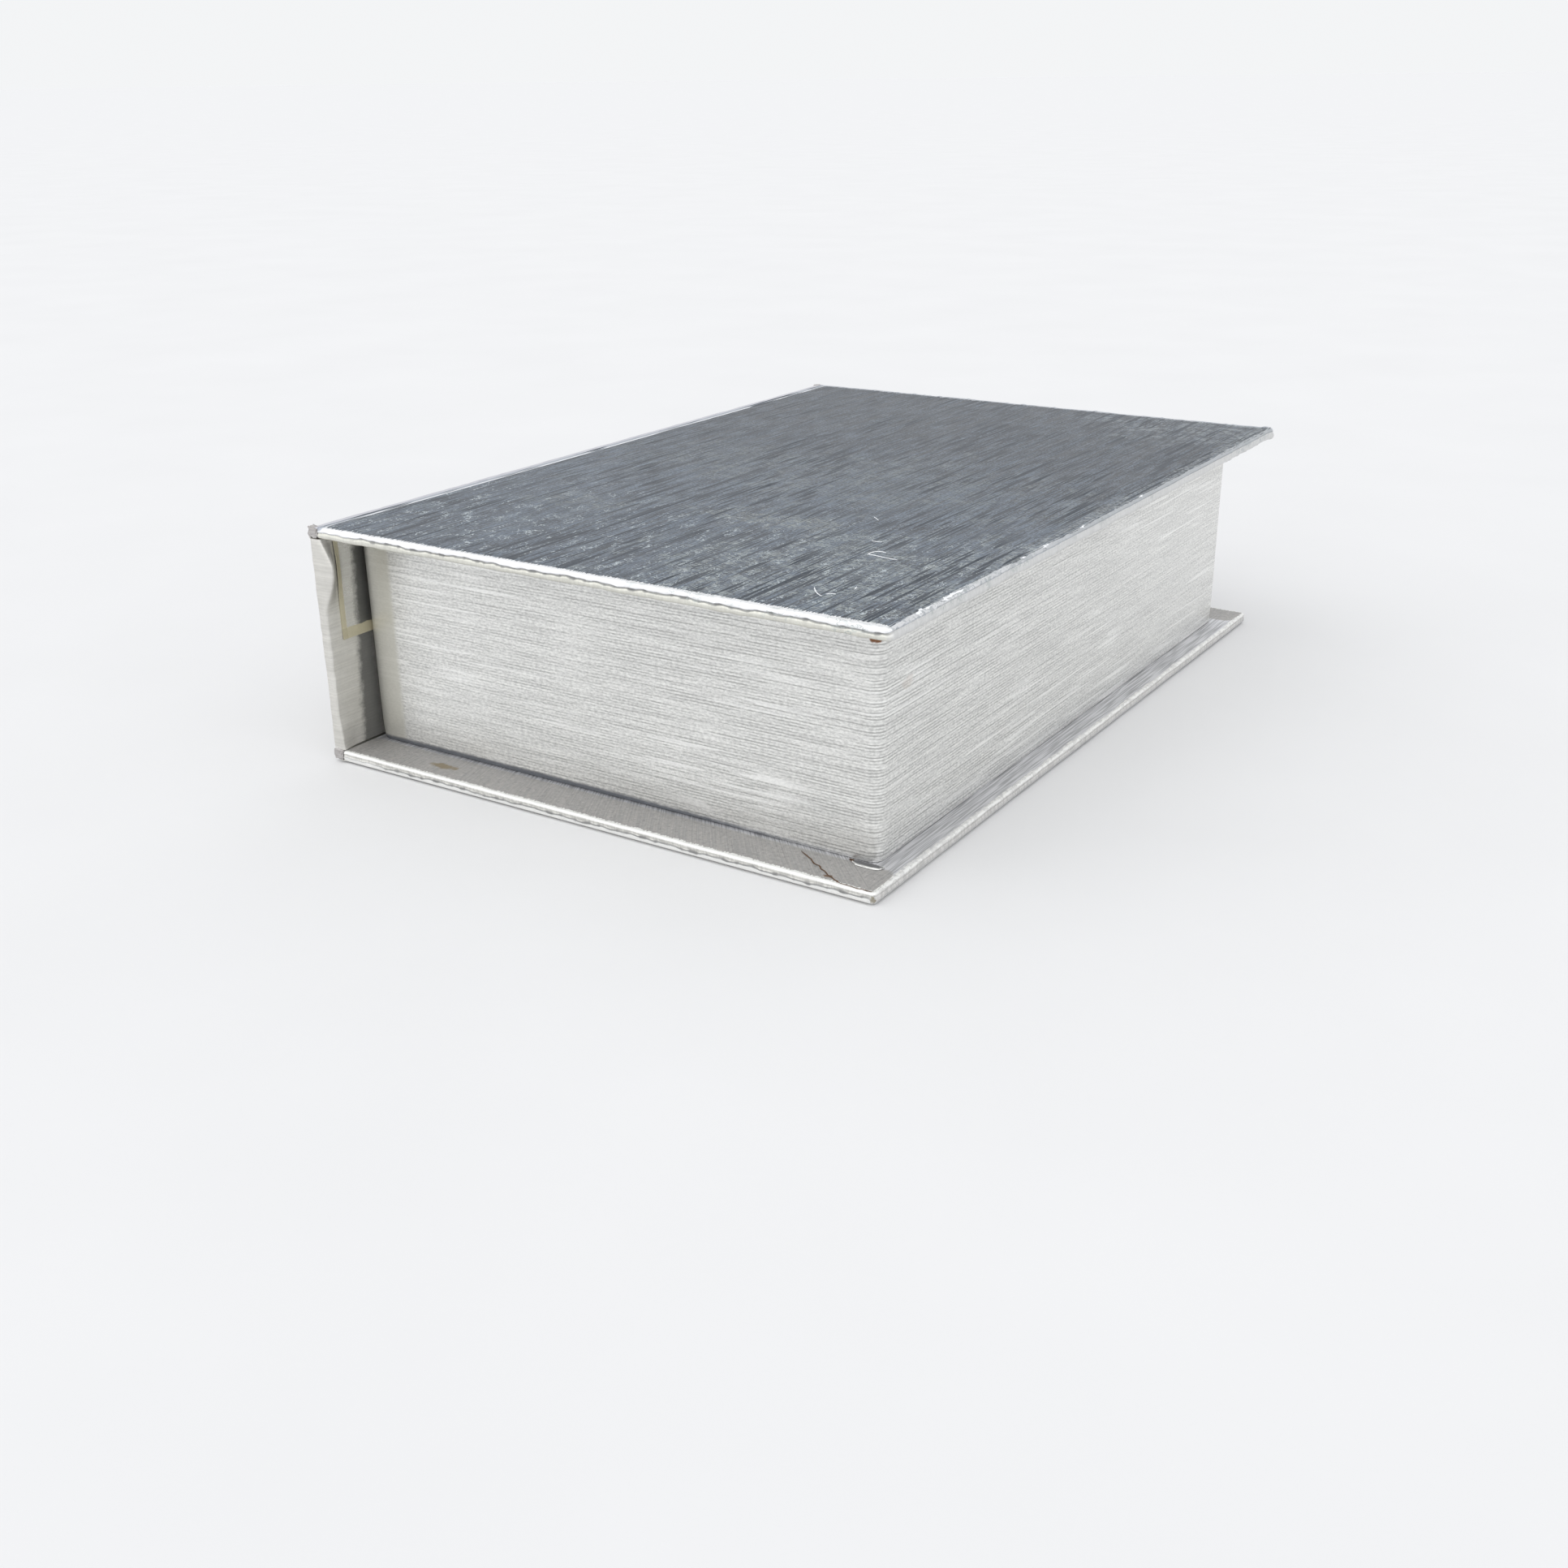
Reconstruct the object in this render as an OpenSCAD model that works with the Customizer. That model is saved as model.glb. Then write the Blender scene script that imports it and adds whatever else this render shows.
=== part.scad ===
// Book box: a case of three boards under one sheet of foil paper, with a rigid tray on its base.
// Millimetres, +Z up. X runs from the spine to the fore-edge, Y from the tail to the head.
// The origin is the centre of the closed box's footprint, on the surface that it stands on.

/* [Case] */
// Length of the case from tail to head
case_l = 153; // [110:1:220]
// Width of the base, from the back of the spine to its fore-edge
base_w = 104.5; // [88:0.5:156]
// How far the lid reaches past the base at the fore-edge
lid_overhang = 2; // [0:0.5:4]
// Height of the closed box
box_h = 40; // [28:0.5:80]
// Thickness of the case's greyboard
case_board_t = 1.5; // [1.2:0.1:2.5]
// Thickness of the foil paper
paper_t = 0.15; // [0.12:0.01:0.22]
// Radius of the case's edges in section
edge_r = 0.45; // [0.3:0.05:0.7]
// Radius of the case's corners in plan
case_corner_r = 0.9; // [0.5:0.1:3]
// Width of the cover paper that is turned in round the inside of each board
turn_in = 14; // [9:0.5:18]

/* [Hinges and liner] */
// Room that each paper hinge has beyond the board's own thickness
hinge_slack = 0.2; // [0.1:0.05:1]
// Gap between the cut ends of neighbouring covers at a hinge
hinge_gap = 0.15; // [0.1:0.05:0.4]
// How far the liner stops short of the edges of the boards
liner_inset = 3; // [1.5:0.5:6]
// How far down the spine the lid's liner runs
liner_drop = 17.5; // [8:0.5:22]

/* [Tray] */
// Margin of base left in front of the tray at the fore-edge
fore_square = 4.2; // [2:0.1:12]
// Margin of base left at the head and at the tail of the tray
end_square = 8.3; // [3:0.1:15]
// Slot between the spine and the tray
spine_slot = 0.6; // [0.4:0.1:4]
// Thickness of the tray's greyboard
tray_board_t = 1.5; // [1.2:0.1:2.5]
// Radius of the tray's upright corners
tray_corner_r = 2; // [1.8:0.1:4.5]
// Gap between the lid's liner and the tray's rim
lid_gap = 0.1; // [0.05:0.05:0.5]
// Depth of the wrap that is turned in over the rim
rim_turn_in = 12; // [6:0.5:18]
// Width of the wrap that is turned in under the floor
foot_turn_in = 11; // [6:0.5:16]
// Strip of turned-in wrap left showing above the lining
lining_drop = 3; // [1:0.5:5]

/* [Corner stays] */
// Thickness of the paper tape
stay_t = 0.12; // [0.08:0.01:0.2]
// Length of each of a stay's two legs
stay_leg = 12; // [8:0.5:20]

/* [Hidden] */
$fn = 64;
// Overlap that lets a cut pass through a face
eps = 1;
lid_w = base_w + lid_overhang;
// Case: a board with paper on both faces
case_t = case_board_t + 2 * paper_t;
hinge_r = case_t + hinge_slack;
spine_x = -lid_w / 2;
hinge_edge_x = spine_x + hinge_r + hinge_gap;
spine_face_x = spine_x + case_t;
spine_top_z = box_h - hinge_r;
liner_low_z = spine_top_z - liner_drop;
// Tray, outside its wrap
tray_x0 = spine_face_x + paper_t + spine_slot;
tray_x1 = spine_x + base_w - fore_square;
tray_l = case_l - 2 * end_square;
foot_z = case_t;
rim_z = box_h - case_t - paper_t - lid_gap;
// Distances in from the outside of the tray's wrap
wall_out = paper_t;
wall_in = wall_out + tray_board_t;
wrap_in = wall_in + paper_t;
lining_in = wrap_in + paper_t;
// Heights of the tray's boards and papers
board_low_z = foot_z + paper_t;
board_high_z = rim_z - paper_t;
floor_top_z = board_low_z + tray_board_t;
wrap_low_z = rim_z - rim_turn_in;
lining_high_z = rim_z - lining_drop;
// Smallest radius that an inner corner keeps
least_r = 0.1;

foil = [0.76, 0.77, 0.79];
greyboard = [0.55, 0.52, 0.47];
kraft = [0.72, 0.58, 0.40];

// Rectangle from (x0, y0) to (x1, y1) with round corners
module round_rect(x0, y0, x1, y1, r) {
    translate([x0 + r, y0]) square([x1 - x0 - 2 * r, y1 - y0]);
    translate([x0, y0 + r]) square([x1 - x0, y1 - y0 - 2 * r]);
    for (x = [x0 + r, x1 - r], y = [y0 + r, y1 - r])
        translate([x, y]) circle(r);
}

// Draws a profile given in X and Z, as long as len along Y and centred on it
module along_y(len) {
    translate([0, len / 2, 0]) rotate([90, 0, 0]) linear_extrude(len) children();
}

// Draws a profile given in Y and Z, from X = 0 to len
module along_x(len) {
    rotate([90, 0, 90]) linear_extrude(len) children();
}

// Flat panel whose outer face is at Z = 0 and hinge side at X = 0. Its other three sides are
// set in by inset, round in section and at the corners. reach carries it past the hinge side.
module panel(w, inset = 0, reach = 0) {
    r = max(edge_r - inset, least_r);
    fore = w - inset;
    half = case_l / 2 - inset;
    // The profiles start well before the hinge side, so that side comes out square
    start = -reach - 2 * case_corner_r;
    intersection() {
        along_y(case_l) round_rect(start, inset, fore, case_t - inset, r);
        translate([-reach, 0, 0]) along_x(fore + reach) round_rect(-half, inset, half, case_t - inset, r);
        linear_extrude(case_t) round_rect(start, -half, fore, half, max(case_corner_r - inset, least_r));
    }
}

// Cover paper of a panel: outer sheet, three wrapped edges and the turn-ins on the inner face
module panel_cover(w) {
    difference() {
        panel(w);
        panel(w, inset = paper_t, reach = eps);
        translate([-eps, -case_l / 2 + turn_in, case_t - paper_t])
            cube([w - turn_in + eps, case_l - 2 * turn_in, paper_t + eps]);
    }
}

// Liner of a panel: it lies on the turn-ins round its border and steps down to the board inside
module panel_liner(w) {
    half = case_l / 2;
    border_x = w - liner_inset;
    step_x = w - turn_in;
    translate([0, -half + turn_in, case_t - paper_t])
        cube([step_x, case_l - 2 * turn_in, paper_t]);
    translate([0, 0, case_t]) difference() {
        translate([0, -half + liner_inset, 0])
            cube([border_x, case_l - 2 * liner_inset, paper_t]);
        translate([-eps, -half + turn_in + paper_t, -eps])
            cube([step_x - paper_t + eps, case_l - 2 * (turn_in + paper_t), paper_t + 2 * eps]);
    }
}

module place_lid() {
    translate([hinge_edge_x, 0, box_h]) mirror([0, 0, 1]) children();
}

module place_base() {
    translate([hinge_edge_x, 0, 0]) children();
}

lid_panel_w = spine_x + lid_w - hinge_edge_x;
base_panel_w = spine_x + base_w - hinge_edge_x;

module lid_board() {
    color(greyboard) place_lid() panel(lid_panel_w, inset = paper_t);
}

module lid_cover() {
    color(foil) place_lid() panel_cover(lid_panel_w);
}

module lid_liner() {
    color(foil) place_lid() panel_liner(lid_panel_w);
}

module base_board() {
    color(greyboard) place_base() panel(base_panel_w, inset = paper_t);
}

module base_cover() {
    color(foil) place_base() panel_cover(base_panel_w);
}

// Spine panel in plan, with round ends, as high as the board. reach carries it past both ends.
module spine_panel(inset, reach = 0) {
    half = case_l / 2 - inset;
    translate([spine_x, 0, hinge_r - reach]) linear_extrude(spine_top_z - hinge_r + 2 * reach)
        round_rect(inset, -half, case_t - inset, half, max(edge_r - inset, least_r));
}

// Quarter round of paper over one hinge, seen along Y and bent up from the spine's outer face
module bend(thick) {
    intersection() {
        difference() {
            circle(hinge_r);
            circle(hinge_r - thick);
        }
        translate([-hinge_r, 0]) square(hinge_r);
    }
}

// Both hinges' bends, as long as the case and rounded at its ends as the spine is
module bends(thick) {
    half = case_l / 2;
    intersection() {
        along_y(case_l) {
            translate([spine_x + hinge_r, spine_top_z]) bend(thick);
            translate([spine_x + hinge_r, hinge_r]) mirror([0, 1]) bend(thick);
        }
        translate([spine_x, 0, 0]) linear_extrude(box_h)
            round_rect(0, -half, 2 * hinge_r, half, edge_r);
    }
}

module spine_board() {
    color(greyboard) spine_panel(paper_t);
}

// Outer sheet with both paper hinges, folded double for the width of the turn-ins at its ends
module spine_cover() {
    half = case_l / 2;
    color(foil) {
        difference() {
            spine_panel(0);
            spine_panel(paper_t, reach = eps);
            translate([spine_face_x - paper_t, -half + turn_in, 0])
                cube([paper_t + eps, case_l - 2 * turn_in, box_h]);
        }
        bends(paper_t);
        difference() {
            bends(2 * paper_t);
            translate([spine_x, -half + turn_in, 0])
                cube([hinge_r + eps, case_l - 2 * turn_in, box_h]);
        }
    }
}

// The part of the lid's liner that is glued down the inside of the spine
module spine_liner() {
    half = case_l / 2;
    lap = turn_in + paper_t - liner_inset;
    color(foil) {
        translate([spine_face_x - paper_t, -half + turn_in, liner_low_z])
            cube([paper_t, case_l - 2 * turn_in, liner_drop]);
        for (y = [-half + liner_inset, half - liner_inset - lap])
            translate([spine_face_x, y, liner_low_z]) cube([paper_t, lap, liner_drop]);
    }
}

// Plan of the tray, d in from the outside of its wrap. Inside the boards the corners are sharp.
module tray_plan(d) {
    r = d < wall_in ? max(tray_corner_r - d, least_r) : least_r;
    round_rect(tray_x0 + d, -tray_l / 2 + d, tray_x1 - d, tray_l / 2 - d, r);
}

// Plan of a ring round the tray between two distances in from its outside
module ring_plan(d0, d1) {
    difference() {
        tray_plan(d0);
        tray_plan(d1);
    }
}

module tray_ring(d0, d1, z0, z1) {
    translate([0, 0, z0]) linear_extrude(z1 - z0) ring_plan(d0, d1);
}

// Draws a plan as high as the wall boards
module as_high_as_walls() {
    translate([0, 0, board_low_z]) linear_extrude(board_high_z - board_low_z) children();
}

// Plan of a corner stay, let into the outer faces of two walls where they meet. With a reach it
// is the cut for that tape, carried past the outside of the walls.
module stay_plan(at_head, at_fore, reach = 0) {
    x = at_fore ? tray_x1 - wall_out - stay_leg : tray_x0 + wall_out - reach;
    y = at_head ? tray_l / 2 - wall_out - stay_leg : -tray_l / 2 + wall_out - reach;
    intersection() {
        ring_plan(wall_out - reach, wall_out + stay_t);
        translate([x, y]) square(stay_leg + reach);
    }
}

// Wall board: the part of the ring of board between two corners of a rectangle, less the stays
module wall(low, high) {
    color(greyboard) as_high_as_walls() difference() {
        intersection() {
            ring_plan(wall_out, wall_in);
            translate(low) square(high - low);
        }
        for (at_head = [false, true], at_fore = [false, true])
            stay_plan(at_head, at_fore, reach = eps);
    }
}

// The head and tail walls run the full width, and the other two stand between them
wall_y = tray_l / 2 - wall_in;

module tray_head_wall() { wall([tray_x0, wall_y], [tray_x1, tray_l]); }
module tray_tail_wall() { wall([tray_x0, -tray_l], [tray_x1, -wall_y]); }
module tray_fore_wall() { wall([0, -wall_y], [tray_x1, wall_y]); }
module tray_spine_wall() { wall([tray_x0, -wall_y], [0, wall_y]); }

// Floor board, held between the four walls
module tray_floor() {
    color(greyboard) translate([0, 0, board_low_z]) linear_extrude(tray_board_t) tray_plan(wall_in);
}

module stay(at_head, at_fore) {
    color(kraft) as_high_as_walls() stay_plan(at_head, at_fore);
}

module stay_head_fore() { stay(true, true); }
module stay_head_spine() { stay(true, false); }
module stay_tail_fore() { stay(false, true); }
module stay_tail_spine() { stay(false, false); }

// Foil paper round the outside of the walls, under the floor and over the rim
module tray_wrap() {
    color(foil) {
        tray_ring(0, wall_out, foot_z, rim_z);
        tray_ring(0, foot_turn_in, foot_z, board_low_z);
        tray_ring(0, wrap_in, board_high_z, rim_z);
        tray_ring(wall_in, wrap_in, wrap_low_z, rim_z);
    }
}

// Lining of the walls: against the boards below, and over the turned-in wrap above
module tray_wall_lining() {
    color(foil) {
        tray_ring(wall_in, wrap_in, floor_top_z, wrap_low_z);
        tray_ring(wrap_in, lining_in, wrap_low_z - paper_t, lining_high_z);
    }
}

module tray_floor_lining() {
    color(foil) translate([0, 0, floor_top_z]) linear_extrude(paper_t) tray_plan(wrap_in);
}

lid_board();
lid_cover();
lid_liner();
spine_board();
spine_cover();
spine_liner();
base_board();
base_cover();
tray_floor();
tray_head_wall();
tray_tail_wall();
tray_fore_wall();
tray_spine_wall();
stay_head_fore();
stay_head_spine();
stay_tail_fore();
stay_tail_spine();
tray_wrap();
tray_wall_lining();
tray_floor_lining();
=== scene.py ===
"""Looks of a book box: foil paper over board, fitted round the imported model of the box.

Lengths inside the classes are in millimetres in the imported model's own frame: +X runs from the
spine to the fore-edge, +Y from the tail to the head, and +Z is up.
"""

import logging
import math
from collections.abc import Callable
from dataclasses import dataclass, field, replace
from enum import Enum

import bmesh
import bpy
from mathutils import Matrix, Vector, noise


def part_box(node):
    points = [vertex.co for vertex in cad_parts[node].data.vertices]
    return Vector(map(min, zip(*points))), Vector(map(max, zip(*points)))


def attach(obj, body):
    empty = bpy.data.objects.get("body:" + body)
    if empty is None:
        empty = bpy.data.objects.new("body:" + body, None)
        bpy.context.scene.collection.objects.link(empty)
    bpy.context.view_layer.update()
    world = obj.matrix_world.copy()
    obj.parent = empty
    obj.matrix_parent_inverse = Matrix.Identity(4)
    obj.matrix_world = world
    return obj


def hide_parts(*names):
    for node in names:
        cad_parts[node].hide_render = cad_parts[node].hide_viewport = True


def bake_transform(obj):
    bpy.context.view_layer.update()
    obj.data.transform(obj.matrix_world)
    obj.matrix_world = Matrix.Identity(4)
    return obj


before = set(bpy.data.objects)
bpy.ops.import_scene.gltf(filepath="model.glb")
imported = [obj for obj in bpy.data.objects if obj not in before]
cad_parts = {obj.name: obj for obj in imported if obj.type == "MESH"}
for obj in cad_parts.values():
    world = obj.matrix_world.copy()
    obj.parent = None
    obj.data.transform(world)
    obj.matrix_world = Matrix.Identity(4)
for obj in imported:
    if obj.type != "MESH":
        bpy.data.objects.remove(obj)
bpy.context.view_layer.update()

log = logging.getLogger("book_box")

MM = 1000.0
PAPER = 0.15
BOARD_COVERED = 1.8
FOLD_R = 0.45
CORNER_R = 0.9
TURN_IN = 14.0
CREASE_AT = 1.12
CREASE_WAVE = 0.17
HINGE_R = 2.0
QUARTER = math.pi / 2
TAU = 2 * math.pi
MERGE_M = 2e-7
SHARP_DEG = 48
LAMP_SPREAD_DEG = 90
FLOOR_Z_M = -0.0003
FLOOR_HALF_M = 40

Colour = tuple[float, float, float]
DASH: Colour = (0.018, 0.031, 0.050)
GLINT: Colour = (1.0, 1.0, 0.98)
HANDLED_BAND: Colour = (0.61, 0.60, 0.54)
# Colour of the painted shade in the slot between the spine and the tray.
PAINTED_SLOT_SHADE: Colour = (0.075, 0.077, 0.074)
CUT_PAPER: Colour = (0.62, 0.58, 0.44)


def cad_box(node: str) -> tuple[Vector, Vector]:
    """Lowest and highest corner of a CAD node, in millimetres."""
    low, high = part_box(node)
    return low * MM, high * MM


def ripple(x: float, y: float, seed: float) -> float:
    """Smooth noise between about -1 and 1 in a seed's slice, the same on every run."""
    return noise.noise(Vector((x, y, seed * 7.31 + 0.37)))


def ease(value: float, low: float, high: float) -> float:
    """Smooth step from 0 at low to 1 at high, also where high is the lower of the two."""
    share = min(1.0, max(0.0, (value - low) / (high - low)))
    return share * share * (3 - 2 * share)


class Signal:
    """A value in a shader: one socket whose arithmetic adds Math nodes."""

    def __init__(self, shader: "Shader", socket: bpy.types.NodeSocket) -> None:
        """Wraps an output socket of a shader."""
        self.shader = shader
        self.socket = socket

    def _math(self, operation: str, *values: "Signal | float") -> "Signal":
        """Adds one Math node with its inputs in order."""
        return self.shader.node("ShaderNodeMath", {"operation": operation}, dict(enumerate(values)))

    def __add__(self, other: "Signal | float") -> "Signal":
        """Sum."""
        return self._math("ADD", self, other)

    def __radd__(self, other: float) -> "Signal":
        """Sum with a number in front."""
        return self._math("ADD", other, self)

    def __sub__(self, other: "Signal | float") -> "Signal":
        """Difference."""
        return self._math("SUBTRACT", self, other)

    def __rsub__(self, other: float) -> "Signal":
        """Difference from a number."""
        return self._math("SUBTRACT", other, self)

    def __mul__(self, other: "Signal | float") -> "Signal":
        """Product."""
        return self._math("MULTIPLY", self, other)

    def __rmul__(self, other: float) -> "Signal":
        """Product with a number in front."""
        return self._math("MULTIPLY", other, self)

    def __pow__(self, other: float) -> "Signal":
        """Power."""
        return self._math("POWER", self, other)

    def __abs__(self) -> "Signal":
        """Size without its sign."""
        return self._math("ABSOLUTE", self)

    def sine(self) -> "Signal":
        """Sine."""
        return self._math("SINE", self)

    def floor(self) -> "Signal":
        """Whole number below."""
        return self._math("FLOOR", self)

    def most(self, other: "Signal | float") -> "Signal":
        """The larger of two values."""
        return self._math("MAXIMUM", self, other)

    def step(self, low: float, high: float) -> "Signal":
        """Smooth step from 0 at low to 1 at high, which falls where high is the lower."""
        settings = {"interpolation_type": "SMOOTHSTEP"}
        return self.shader.node("ShaderNodeMapRange", settings, {0: self, 1: low, 2: high})


class Shader:
    """Node tree under construction, of a material or of the world."""

    def __init__(self, tree: bpy.types.NodeTree) -> None:
        """Empties a tree and starts in it."""
        self.tree = tree
        tree.nodes.clear()

    def node(
        self,
        kind: str,
        settings: dict[str, object] | None = None,
        inputs: dict[int | str, object] | None = None,
        output: int | str = 0,
    ) -> Signal:
        """Adds any node.

        Args:
            kind: The node's type.
            settings: Its properties, which are set first.
            inputs: Numbers, colours or signals for its sockets, by index or name.
            output: Which output to carry on from.

        Returns:
            That output.
        """
        made = self.tree.nodes.new(kind)
        for name, value in (settings or {}).items():
            setattr(made, name, value)
        for key, value in (inputs or {}).items():
            if isinstance(value, Signal):
                self.tree.links.new(value.socket, made.inputs[key])
            else:
                made.inputs[key].default_value = value
        return Signal(self, made.outputs[output]) if made.outputs else Signal(self, made.inputs[0])

    def place(self) -> Signal:
        """Position on the resting object, as a vector in millimetres."""
        raw = self.node("ShaderNodeTexCoord", output="Object")
        return self.vector("SCALE", raw, scale=MM)

    def vector(
        self, operation: str, a: Signal, b: Signal | Colour = (0, 0, 0), scale: float = 1.0, output: int = 0
    ) -> Signal:
        """Adds a Vector Math node, whose output 0 is a vector and 1 a value."""
        inputs = {0: a, 3: scale} if operation == "SCALE" else {0: a, 1: b}
        return self.node("ShaderNodeVectorMath", {"operation": operation}, inputs, output)

    def parts(self, vector: Signal) -> tuple[Signal, Signal, Signal]:
        """The three values of a vector."""
        split = self.node("ShaderNodeSeparateXYZ", None, {0: vector}).socket.node
        return tuple(Signal(self, socket) for socket in split.outputs)

    def joined(self, x: Signal | float, y: Signal | float, z: Signal | float = 0.0) -> Signal:
        """Vector made of three values."""
        return self.node("ShaderNodeCombineXYZ", None, {0: x, 1: y, 2: z})

    def grain_of(self, layer: str) -> tuple[Signal, Signal]:
        """The two values, in millimetres, of one of the sheet's own coordinate layers."""
        return self.parts(self.node("ShaderNodeUVMap", {"uv_map": layer}))[:2]

    def cloud(self, vector: Signal, scale: float = 1.0, detail: float = 2.0, rough: float = 0.5) -> Signal:
        """Noise about a mean of a half: scale in cells per unit, detail in octaves."""
        inputs = {"Vector": vector, "Scale": scale, "Detail": detail, "Roughness": rough}
        return self.node("ShaderNodeTexNoise", {"noise_dimensions": "3D"}, inputs)

    def drawn(
        self, x: Signal | float, y: Signal | float, seed: float = 0, detail: float = 1, rough: float = 0.5
    ) -> Signal:
        """Noise over two coordinates, in a seed's slice."""
        return self.cloud(self.joined(x, y, seed), 1.0, detail, rough)

    def mix(
        self, a: Signal | Colour, b: Signal | Colour, share: Signal | float, blend: str = "MIX"
    ) -> Signal:
        """Mixes two colours.

        Args:
            a: Colour at a share of 0.
            b: Colour at a share of 1.
            share: How much of b.
            blend: The node's way to mix.

        Returns:
            The mixed colour.
        """
        ends = [c if isinstance(c, Signal) else (*c, 1.0) for c in (a, b)]
        settings = {"data_type": "RGBA", "blend_type": blend, "clamp_factor": True}
        return self.node("ShaderNodeMix", settings, {0: share, 6: ends[0], 7: ends[1]}, 2)

    def dimmed(self, colour: Signal | Colour, factor: Signal) -> Signal:
        """Multiplies a colour by a value."""
        return self.mix(colour, self.joined(factor, factor, factor), 1.0, "MULTIPLY")

    def surface(
        self, colour: Signal, rough: Signal, metallic: float, height: Signal, relief: float,
        strength: float = 1,
    ) -> None:
        """Ends a material with one surface, whose relief is a bump.

        Args:
            colour: Its colour.
            rough: Its roughness.
            metallic: How metallic it is.
            height: Its relief, as a share.
            relief: Height of a share of 1, in millimetres.
            strength: Strength of the bump.
        """
        bump = self.node("ShaderNodeBump", None, {
            "Strength": strength, "Distance": relief / MM, "Height": height})
        made = self.node("ShaderNodeBsdfPrincipled", None, {
            "Base Color": colour, "Metallic": metallic, "Roughness": rough, "Normal": bump})
        self.node("ShaderNodeOutputMaterial", None, {"Surface": made})


def new_material(name: str) -> tuple[bpy.types.Material, Shader]:
    """Starts a material.

    Args:
        name: Its name.

    Returns:
        The material and the shader to fill.
    """
    material = bpy.data.materials.new(name)
    material.use_nodes = True
    return material, Shader(material.node_tree)


@dataclass(frozen=True)
class Mark:
    """A stain, rub, tear or patch of painted shade at one place: a soft spot with a ragged outline."""

    centre: Colour
    reach: Colour
    colour: Colour
    strength: float = 1.0
    ragged: float = 0.5
    fineness: float = 1.0
    rough: float = 0.6
    speckle: float = 0.0
    wisps: float = 0.0

    def mask(self, shader: Shader, place: Signal) -> Signal:
        """Where the mark is.

        Args:
            shader: Shader to build in.
            place: Position in millimetres.

        Returns:
            Its cover, from 0 to its strength.
        """
        off = shader.vector("SUBTRACT", place, self.centre)
        scaled = shader.vector("DIVIDE", off, self.reach)
        away = shader.vector("LENGTH", scaled, output=1)
        torn = shader.cloud(place, self.fineness, 3.0, 0.6) - 0.5
        cover = (away + torn * (2 * self.ragged)).step(1.0, 0.55) * self.strength
        if self.wisps:
            swept = shader.vector("MULTIPLY", place, (0.6, 1.3, 1.0))
            grain = shader.cloud(swept, self.speckle, 5.0, 0.75).step(0.50, 0.62)
            ridge = abs(shader.cloud(swept, self.wisps, 3.0, 0.55) - 0.5).step(0.022, 0.006)
            return cover * grain.most(ridge * 1.5)
        if self.speckle:
            cover = cover * shader.cloud(place, self.speckle, 5.0, 0.75).step(0.46, 0.60)
        return cover


class Layout(Enum):
    """Where a foil's lines run."""

    SHEET = "along the sheet's own coordinates"
    ALONG_Y = "along Y on a level face"
    LEVEL = "level round upright faces"


@dataclass(frozen=True)
class FoldLook:
    """Colours of a folded edge: its wear, a painted highlight on the fold and painted shade in its crease.
    """

    tail_end: float
    # Bright fold colour: wear and painted highlight.
    wear_and_highlight: Colour = (0.93, 0.93, 0.94)
    crease: Colour = (0.20, 0.20, 0.20)
    # Colour of the painted shade in the crease under the fold.
    band: Colour = (0.78, 0.78, 0.77)
    tail_band: Colour = (0.80, 0.79, 0.72)
    far_worn: Colour = (0.62, 0.64, 0.66)
    ticks: float = 0.06
    narrow: float = 0.0
    inner: Colour = (0.66, 0.66, 0.68)
    matt: Colour | None = None


@dataclass(frozen=True)
class Reading:
    """What a foil's layers read: the place in millimetres, and the way along and across its lines."""

    s: Shader
    place: Signal
    x: Signal
    y: Signal
    z: Signal
    along: Signal
    across: Signal


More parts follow.
